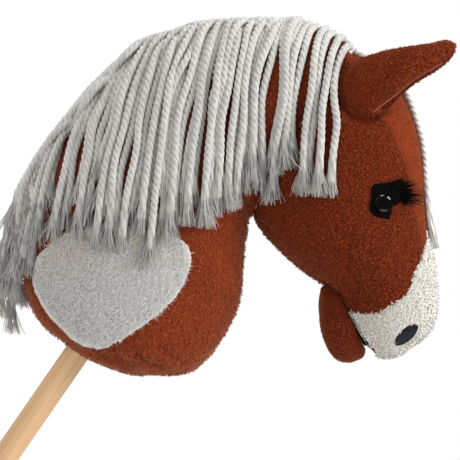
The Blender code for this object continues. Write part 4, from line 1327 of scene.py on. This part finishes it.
def makeEar(word, side):
    body = "ear_" + word.lower()
    pivot = atHead(*earPivot[word])
    leaf = foldedLeaf("ear" + word, side, 0.0, 1.0, 0.0, ear["wall"], 0.0)
    (x, y, z), turn, sizes = ear["root"]
    root = ball("earRoot", 1, (0, 0, 0), 40, 24)
    place = Matrix.Translation(atHead(x, side * y, z)) @ Matrix.Rotation(math.radians(turn), 4, "Y")
    root.data.transform(place @ Matrix.Diagonal((*(size * mm for size in sizes), 1)))
    pickOnly(leaf, root)
    bpy.ops.object.join()
    remesh(leaf, 0.9, 5)
    points, normals = pointsOf(leaf), normalsOf(leaf)
    outside = np.clip(normals[:, 1] * side * 1.5, 0, 1)
    push = -ear["creaseDepth"] * hatch(toHead(points)[:, [0, 2]], ear["crease"], 6.0) * outside
    setPoints(leaf, points + normals * (push * mm)[:, None])
    lining = foldedLeaf("earLining" + word, side, 0.36, 0.95, ear["wall"] + 0.15, 0.9, 1.0, 50)
    for swing in ear["swings"]:                              # room in the skin at each end of the swing
        guard = copyOf(earClear, "earGuard")
        turned = Matrix.Rotation(swing, 4, "Y") @ Matrix.Translation(-pivot)
        guard.data.transform(Matrix.Translation(pivot) @ turned)
        carve(leaf, guard, keepTool=True)
        carve(lining, guard)
    carve(leaf, ball("earBall", ear["ball"] * mm, pivot), "UNION")
    carve(lining, ball("earBallClear", (ear["ball"] + 0.3) * mm, pivot))
    # painted shade in the ear's crease, and a painted highlight along its lower rim
    rim = smoothLine(ear["lower"], 60)
    local = toHead(pointsOf(leaf))
    flat, outer = local[:, [0, 2]], local[:, 1] * side > 38
    paintShade(leaf, (0.6 * hatch(flat, ear["crease"], 7.0) - 0.7 * hatch(flat, rim, 1.3)) * outer)
    smoothShade(leaf, 60)
    smoothShade(lining, 60)
    dress(leaf, plushFinish["chestnut"], body, body, slot="chestnut_plush", padded=0.4)
    dress(lining, plushFinish["earLining"], body, "ear_lining_" + word.lower(), slot="forehead_plush")
    edge = [(earRows[i, 2] + 0.3, side * (38.3 + 0.13 * i + 0.25 * earRows[i, 4]), earRows[i, 3] - 0.3)
            for i in ear["seamRows"]]
    bundle = Bundle()
    addThread(bundle, np.array(edge) * mm + pocketMouth, 1.25 * mm, 10, taper=0.7)
    dress(bundle.finish("earSeam" + word), plushFinish["earLining"], body, slot="forehead_plush")
    centre = np.array(earPivot[word])

    # Bare at the root and the rim, and thin in the crease
    def onLeaf(local):
        flat = local[:, [0, 2]]
        pastRoot = np.linalg.norm(local - centre, axis=1) > ear["bareRoot"]
        offCrease = rng.uniform(0, 1, len(local)) > 0.75 * hatch(flat, ear["crease"], 6.0)
        return pastRoot & (distanceTo(flat, rim) > ear["bareRim"]) & offCrease

    # The same, and more of it towards the tip, where the neck's paler pile paints light
    def nearTip(local):
        start, reach = ear["palerTip"]
        return onLeaf(local) & (rng.uniform(0, 1, len(local)) < (local[:, 0] - start) / reach)

    for name, count, finish, rise, keep in (("earPile", 9000, "brownThread", 0.25, onLeaf),
                                            ("earTipPile", 7000, "neckThread", 0.28, nearTip)):
        brush(name + word, leaf, count, (1.8, 3.2), 0.8, (0.7, 0, 0.4), finish, "chestnut_plush", body,
              onSkin=False, rise=rise, keep=keep)


for word, side in sideSign.items():
    makeEar(word, side)
dropPiece(earClear)
print("jaw and ears made")


# Stick and the parts inside the neck

stickSizes = {"length": 800, "radius": 12, "chamfer": 1.5}


def makeStick():
    length = stickSizes["length"] * mm
    stick = rod("woodenStick", stickSizes["radius"] * mm, length, Matrix(), 72)
    bpy.ops.object.mode_set(mode="EDIT")
    bpy.ops.mesh.select_all(action="DESELECT")
    work = bmesh.from_edit_mesh(stick.data)
    for edge in work.edges:
        low, high = edge.verts[0].co, edge.verts[1].co
        edge.select_set(abs(low.z - high.z) < 1e-6)
    bmesh.update_edit_mesh(stick.data)
    bpy.ops.mesh.bevel(offset=stickSizes["chamfer"] * mm, segments=3, affect="EDGES")
    bpy.ops.object.mode_set(mode="OBJECT")
    stick.data.transform(Matrix.Translation(stickWay * length / 2) @ stickTurn)
    smoothShade(stick, 30)
    dress(stick, finishes["wood"], "stick", "stick", slot="pale_wood")


makeStick()
for node, material in (("stick_top_pad", "tape"), ("stick_sleeve", "tape"), ("sleeve_end_disc", "tape"),
                       ("eye_washer_near", "moulded"), ("eye_washer_far", "moulded")):
    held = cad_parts[node]
    held.data.materials.clear()
    held.data.materials.append(finishes[material])
tape = softCopy("maneTape", "mane_tape", 0.9, 2, lift=-0.2)
dress(tape, finishes["tape"], "head", "mane_tape", slot="cotton_tape")
print("stick and tape made")


# Mane: cords that fall from the crest on both sides

mane = {
    # root along the crest, then the end's place and the frayed length, in mm
    "near": [
        (254, 238, 135, 36), (250, 226, 141, 49), (240, 215, 142, 48), (231, 210, 150, 38),
        (223, 201, 165, 27), (218, 195, 171, 28), (212, 189, 158, 38), (202, 181, 142, 57),
        (197, 172, 142, 57), (192, 162, 152, 43), (187, 155, 147, 38), (181, 149, 138, 38),
        (178, 146, 123, 43), (172, 139, 131, 38), (168, 132, 135, 48), (162, 126, 127, 43),
        (159, 121, 104, 48), (154, 115, 112, 43), (150, 107, 116, 43), (144, 100, 114, 43),
        (139, 91, 108, 52), (133, 85, 106, 52), (128, 77, 106, 48), (124, 72, 75, 33), (120, 64, 106, 43),
        (115, 57, 107, 43), (109, 48, 109, 43), (104, 41, 95, 43), (100, 34, 106, 48), (93, 26, 101, 43),
        (86, 19, 152, 36), (82, 18, 100, 43), (75, 7, 108, 38), (69, -4, 106, 38), (64, -13, 104, 38),
        (58, -24, 101, 38), (52, -30, 122, 43), (47, -39, 93, 43), (41, -47, 99, 43), (35, -51, 71, 43),
        (29, -61, 112, 43), (23, -66, 93, 38), (16, -70, 84, 38)],
    "tailRoots": [(8, 246), (2, 236), (-5, 226), (-11, 215), (-16, 205), (-21, 195), (-25, 186), (-29, 176)],
    "tailEnds": [(-58, 98, 38), (-66, 84, 40), (-60, 78, 40), (-70, 74, 40), (-64, 66, 38), (-72, 60, 36),
                 (-60, 50, 34), (-68, 40, 34)],
    "farRoots": [(250, 300), (230, 305), (200, 312), (160, 314), (118, 306), (74, 288), (36, 262), (8, 234),
                 (-14, 204), (-30, 174)],
    "farEnds": [(238, 135), (220, 138), (188, 143), (128, 128), (60, 104), (0, 88), (-34, 62), (-50, 36),
                (-62, 26), (-72, 24)],
    "farCount": 46,
    "beneath": (22, 204, 16),           # near cords under the others: first and last root, and count
    # brown shows there: x, z, half height and how far the cords part
    "gaps": [(182, 244, 38, 5.5), (101, 236, 34, 4.4), (46, 182, 26, 4.6), (24, 208, 24, 4.6),
             (8, 186, 20, 3.6), (216, 225, 34, 4.2), (146, 214, 20, 3.0), (236, 226, 20, 3.0)],
    "outline": [(261, 292.6), (248, 304), (239.4, 313), (191, 317), (162.5, 316), (124.5, 315), (105.5, 312),
                (88.4, 305), (67.5, 300), (52.3, 293), (42.8, 284), (25.7, 266), (8.6, 247), (-8.6, 228),
                (-25.7, 209), (-39, 190), (-51.3, 171), (-61.8, 152), (-68, 133), (-78, 114), (-86, 90)],
    "outlineRoom": 4.8,
    "points": 40,
    "space": 6.0,
    "skinRoom": 3.7,
    "middleRoom": 3.7,
    "crestHeight": (4.6, 1.2),          # over the skin at the crest, and what a layer adds
    "besideMiddle": 3.9,
    "fallHeight": (4.2, 5.0),           # over the skin further down, and what a layer adds
    "rounds": 34,
    "bow": 0.33,
    "steepCrest": 40,                   # roots further back than this start from above the crest
    "earRoom": (264, 244, 23, 48),      # middle, half width and half height
    "widest": 80,
    "past": 8,
}


# The crest's skin at a place along the horse: world point and normal in the middle plane
def crestAt(x, z=None):
    if z is None:
        hit, normal, _, _ = skinTree.ray_cast(atHead(x, 0, 500), Vector((0, 0, -1)))
    else:
        hit, normal, _, _ = skinTree.find_nearest(atHead(x, 0, z))
    normal = Vector((normal.x, 0, normal.z)).normalized()
    return Vector((hit.x, 0, hit.z)), normal


# One cord's fall as seen from the side, laid over the skin
def cordLine(rootX, rootZ, endX, endZ, side, layer):
    skinPoint, normal = crestAt(rootX, rootZ)
    low, rise = mane["crestHeight"]
    start = toHead(np.array(skinPoint)) + np.array(normal) * (low + layer * rise)
    p0 = np.array((start[0], start[2]))
    run = max(p0[0] - endX, 0)
    back = np.array((-normal.z, normal.x))                      # along the crest, towards the tail
    p3 = np.array((endX, endZ))
    p1 = p0 + back * (mane["bow"] * run + 6) + np.array((normal.x, normal.z)) * 3
    p2 = p3 + np.array((0.16 * run, 0.60 * (p0[1] - endZ)))
    t = np.linspace(0, 1, mane["points"])[:, None]
    flat = (1 - t) ** 3 * p0 + 3 * (1 - t) ** 2 * t * p1 + 3 * (1 - t) * t ** 2 * p2 + t ** 3 * p3
    line, last = [], mane["besideMiddle"]
    low, rise = mane["fallHeight"]
    for index, (x, z) in enumerate(flat):
        hit, _ = skinAt(x, z, side)
        reach = abs(hit.y) / mm + low if hit else None
        if index == 0:
            y = last
        elif reach is None:
            y = last + 0.5
        else:
            y = last + np.clip(reach - last, -1.5, 7.0)
        last = y
        line.append((x, side * (y + layer * min(index, 8) / 8 * rise), z))
    return np.array(line)


# Draws points that hang outside the mane's outline back to it
def holdIn(flatPoints):
    room = mane["outlineRoom"]
    edge = smoothLine(mane["outline"], 90)
    side = flatPoints[:, [0, 2]]
    shift = np.zeros_like(side)
    best = np.full(len(side), 1e9)
    for a, b in zip(edge[:-1], edge[1:]):
        run = (b - a) / np.linalg.norm(b - a)
        inward = np.array((-run[1], run[0]))
        along = np.clip((side - a) @ run, 0, np.linalg.norm(b - a))
        off = side - a - along[:, None] * run
        far = np.linalg.norm(off, axis=1)
        depth = (side - a) @ inward
        nearer = far < best
        best[nearer] = far[nearer]
        shift[nearer] = np.where(depth < room, room - depth, 0)[nearer][:, None] * inward
    moved = flatPoints.copy()
    moved[:, [0, 2]] += shift
    return moved


# Pushes cords out of the skin and off each other, and keeps them smooth
def relaxCords(lines, sides, rounds, step=0.5):
    lines = np.array(lines)
    count = len(lines)
    order = np.argsort([line[0, 0] for line in lines])
    pairs = [(order[i], order[j]) for i in range(count) for j in range(i + 1, min(count, i + 9))]
    for _ in range(rounds):
        push = np.zeros_like(lines)
        for a, b in pairs:
            if sides[a] != sides[b]:
                continue
            gap = lines[a][:, None] - lines[b][None]
            far = np.sqrt((gap ** 2).sum(-1)) + 1e-6
            close = np.clip(mane["space"] - far, 0, None)
            if not close.any():
                continue
            way = gap / far[..., None]
            way[..., 1] += 0.35 * sides[a] * np.where(far < mane["space"], 1, 0) * (1 if a > b else -1)
            force = way * close[..., None]
            push[a] += force.sum(1) / np.maximum((close > 0).sum(1), 1)[:, None] * step
            push[b] -= force.sum(0) / np.maximum((close > 0).sum(0), 1)[:, None] * step
        push[:, 0] *= 0.3
        lines = lines + push
        smooth = lines.copy()
        smooth[:, 1:-1] = 0.5 * lines[:, 1:-1] + 0.25 * (lines[:, :-2] + lines[:, 2:])
        lines = 0.4 * lines + 0.6 * smooth
        flatPoints = holdIn(lines.reshape(-1, 3))
        moved = np.empty_like(flatPoints)
        for index, point in enumerate(flatPoints):
            place = Vector(point) * mm + Vector(pocketMouth)
            hit, normal, _, distance = skinTree.find_nearest(place)
            if (place - hit).dot(normal) < 0 or distance < mane["skinRoom"] * mm:
                place = hit + normal * mane["skinRoom"] * mm
            moved[index] = toHead(np.array(place))
        lines = moved.reshape(lines.shape)
        for index in range(count):
            low = lines[index][:, 1] * sides[index]
            lines[index][:, 1] = np.maximum(low, mane["middleRoom"]) * sides[index]
    return lines


def makeManeLines():
    lines, sides, frays = [], [], []

    # every second cord lies over the others; the ones beneath end higher
    def addCord(rootX, rootZ, endX, endZ, fray, side, beneath=False):
        over = 0 if beneath else len(lines) % 2
        if not over:
            endZ += rng.uniform(2, 16)
        line = cordLine(rootX, rootZ, endX, endZ, side, over + rng.uniform(-0.1, 0.4))
        phase, swing = rng.uniform(0, math.tau), rng.uniform(0.3, 1.2)
        t = np.linspace(0, 1, len(line))
        line[:, 0] += np.sin(t * rng.uniform(4, 8) + phase) * swing * t               # hangs unevenly
        line[:, 0] += rng.normal(0, 1.3 + 0.5 * over)
        lines.append(line)
        sides.append(side)
        frays.append(fray)

    def crestZ(rootX):
        return None if rootX > mane["steepCrest"] else 320

    for rootX, endX, endZ, fray in mane["near"]:
        addCord(rootX, crestZ(rootX), endX, endZ + rng.uniform(-5, 6), fray, -1)
    tail = list(zip(mane["tailRoots"], mane["tailEnds"]))
    for (rootX, rootZ), (endX, endZ, fray) in tail:
        addCord(rootX, rootZ, endX, endZ, fray, -1)
    rows = np.array(mane["near"])[::-1]
    first, last, count = mane["beneath"]
    for rootX in np.linspace(first, last, count) + rng.uniform(-3, 3, count):
        endX, endZ, fray = (np.interp(rootX, rows[:, 0], rows[:, column]) for column in (1, 2, 3))
        endX, endZ = endX + rng.normal(0, 3), endZ + rng.uniform(6, 26)
        addCord(rootX, crestZ(rootX), endX, endZ, fray, -1, True)
    for (rootX, rootZ), (endX, endZ, fray) in tail[::2]:
        addCord(rootX + 3, rootZ + 4, endX + 16, endZ + rng.uniform(6, 14), fray, -1, True)
    crest = smoothLine(mane["farRoots"], mane["farCount"])
    ends = smoothLine(mane["farEnds"], mane["farCount"])
    for (rootX, rootZ), end in zip(crest, ends):
        endX, endZ = end + rng.normal(0, 1, 2) * (3, 8)
        addCord(rootX, rootZ, endX, endZ, rng.uniform(34, 48), 1)
    return lines, sides, frays


rng = np.random.default_rng(34)                     # the mane's own, so that it keeps its fall
lines, sides, frays = makeManeLines()
print("mane laid out:", len(lines), "cords")
lines = relaxCords(lines, sides, mane["rounds"])
print("mane settled")


# Draws cords aside where the plush shows between them, so that they bunch
def openGaps(lines):
    for gapX, gapZ, high, part in mane["gaps"]:
        off = (lines[..., 0] - gapX) / 7.0
        push = part * off * np.exp(0.5 - 0.5 * off ** 2) * np.exp(-((lines[..., 2] - gapZ) / high) ** 2)
        lines[..., 0] += push
    return lines


# Keeps the cords behind the ears' roots, which need room to swing
def clearOfEars(lines):
    pivotX, pivotZ, reachX, reachZ = mane["earRoom"]
    across = np.clip(1 - ((lines[..., 2] - pivotZ) / reachZ) ** 2, 0, 1)
    edge = np.where(across > 0, pivotX - reachX * np.sqrt(across), 1e3)
    for _ in range(4):
        lines[..., 0] = np.minimum(lines[..., 0], edge)
        lines[:, 2:-1, 0] = 0.5 * lines[:, 2:-1, 0] + 0.25 * (lines[:, 1:-2, 0] + lines[:, 3:, 0])
    return lines


lines = clearOfEars(openGaps(lines))


def makeLock(word, side, number, chosen):
    bundle = Bundle()
    for index in chosen:
        own = lines[index]
        over = own[0] + np.array([(1.5, -side * 7.5, -2.2), (0.6, -side * 4.0, 0.6)])    # over the crest
        line = smoothLine(np.vstack([over, own]) * mm + pocketMouth, 160)
        run = runOf(line)
        past = rng.uniform(8, 14)
        kept = line[run <= run[-1] - past * mm]
        fine = addRope(bundle, kept, frays[index] * 1.05 * mm, turn=rng.uniform(0, 6), flared=0.34)
        addTassel(bundle, fine, frays[index], past)
    piece = bundle.finish("maneLock" + word + str(number))
    points = pointsOf(piece)                                              # the outermost threads are held in
    out = np.abs(points[:, 1]) / mm - mane["widest"]
    held = mane["widest"] + mane["past"] * (1 - np.exp(-np.maximum(out, 0) / mane["past"]))
    points[:, 1] = np.where(out > 0, np.sign(points[:, 1]) * held * mm, points[:, 1])
    setPoints(piece, points)
    dress(piece, [finishes["cord"], finishes["thread"]], "head", "mane_" + word.lower() + "_" + str(number),
          slot="white_cotton")


for word, side in sideSign.items():
    own = sorted((i for i in range(len(lines)) if sides[i] == side), key=lambda i: -lines[i][0, 0])
    for number, chosen in enumerate(np.array_split(own, 7), 1):
        makeLock(word, side, number, chosen)
print("mane made")


# Long pile on the neck patch

fluff = {
    "outline": [(82, 108), (98, 105), (107, 92), (105, 76), (91, 50), (58, 23), (28, 6), (10, 6), (-10, 20),
                (-32, 45), (-41, 68), (-34, 92), (8, 118), (50, 118)],
    "inset": 0.965,
    "tanShade": (86, 0.14, 8),             # painted shade in tan under the mane: its lower edge's height and slope, and how soft that edge is
}


def insideOutline(points, outline):
    inside = np.zeros(len(points), bool)
    for (ax, az), (bx, bz) in zip(outline, outline[1:] + outline[:1]):
        between = (az > points[:, 1]) != (bz > points[:, 1])
        inside ^= between & (points[:, 0] < (bx - ax) * (points[:, 1] - az) / (bz - az + 1e-9) + ax)
    return inside


fluffEdge = smoothLine(fluff["outline"] + fluff["outline"][:1], 90)
fluffMiddle = fluffEdge.mean(0)
fluffEdge = (fluffMiddle + (fluffEdge - fluffMiddle) * fluff["inset"]).tolist()


def onPatch(local):
    return insideOutline(local[:, [0, 2]], fluffEdge)


# The patch's top, painted tan: painted shade under the mane, warmed by the brown beside it
def onPatchTop(local):
    height, slope, soft = fluff["tanShade"]
    return onPatch(local) & (local[:, 2] + rng.normal(0, soft, len(local)) > height + slope * local[:, 0])


for word in sideSign:
    base = bpy.data.objects["neckPatch" + word]
    brush("neckFluff" + word, base, 42000, (4.5, 8.5), 0.5, (-0.4, 0, -0.8), "greyThread", "grey_fluff",
          spread=0.75, rise=0.38, onSkin=False, keep=onPatch)
    brush("neckFluffTop" + word, base, 16000, (4.0, 7.5), 0.6, (-0.6, 0, -0.8), "tanThread", "grey_fluff",
          spread=0.5, rise=0.32, onSkin=False, keep=onPatchTop)
print("neck patches brushed")
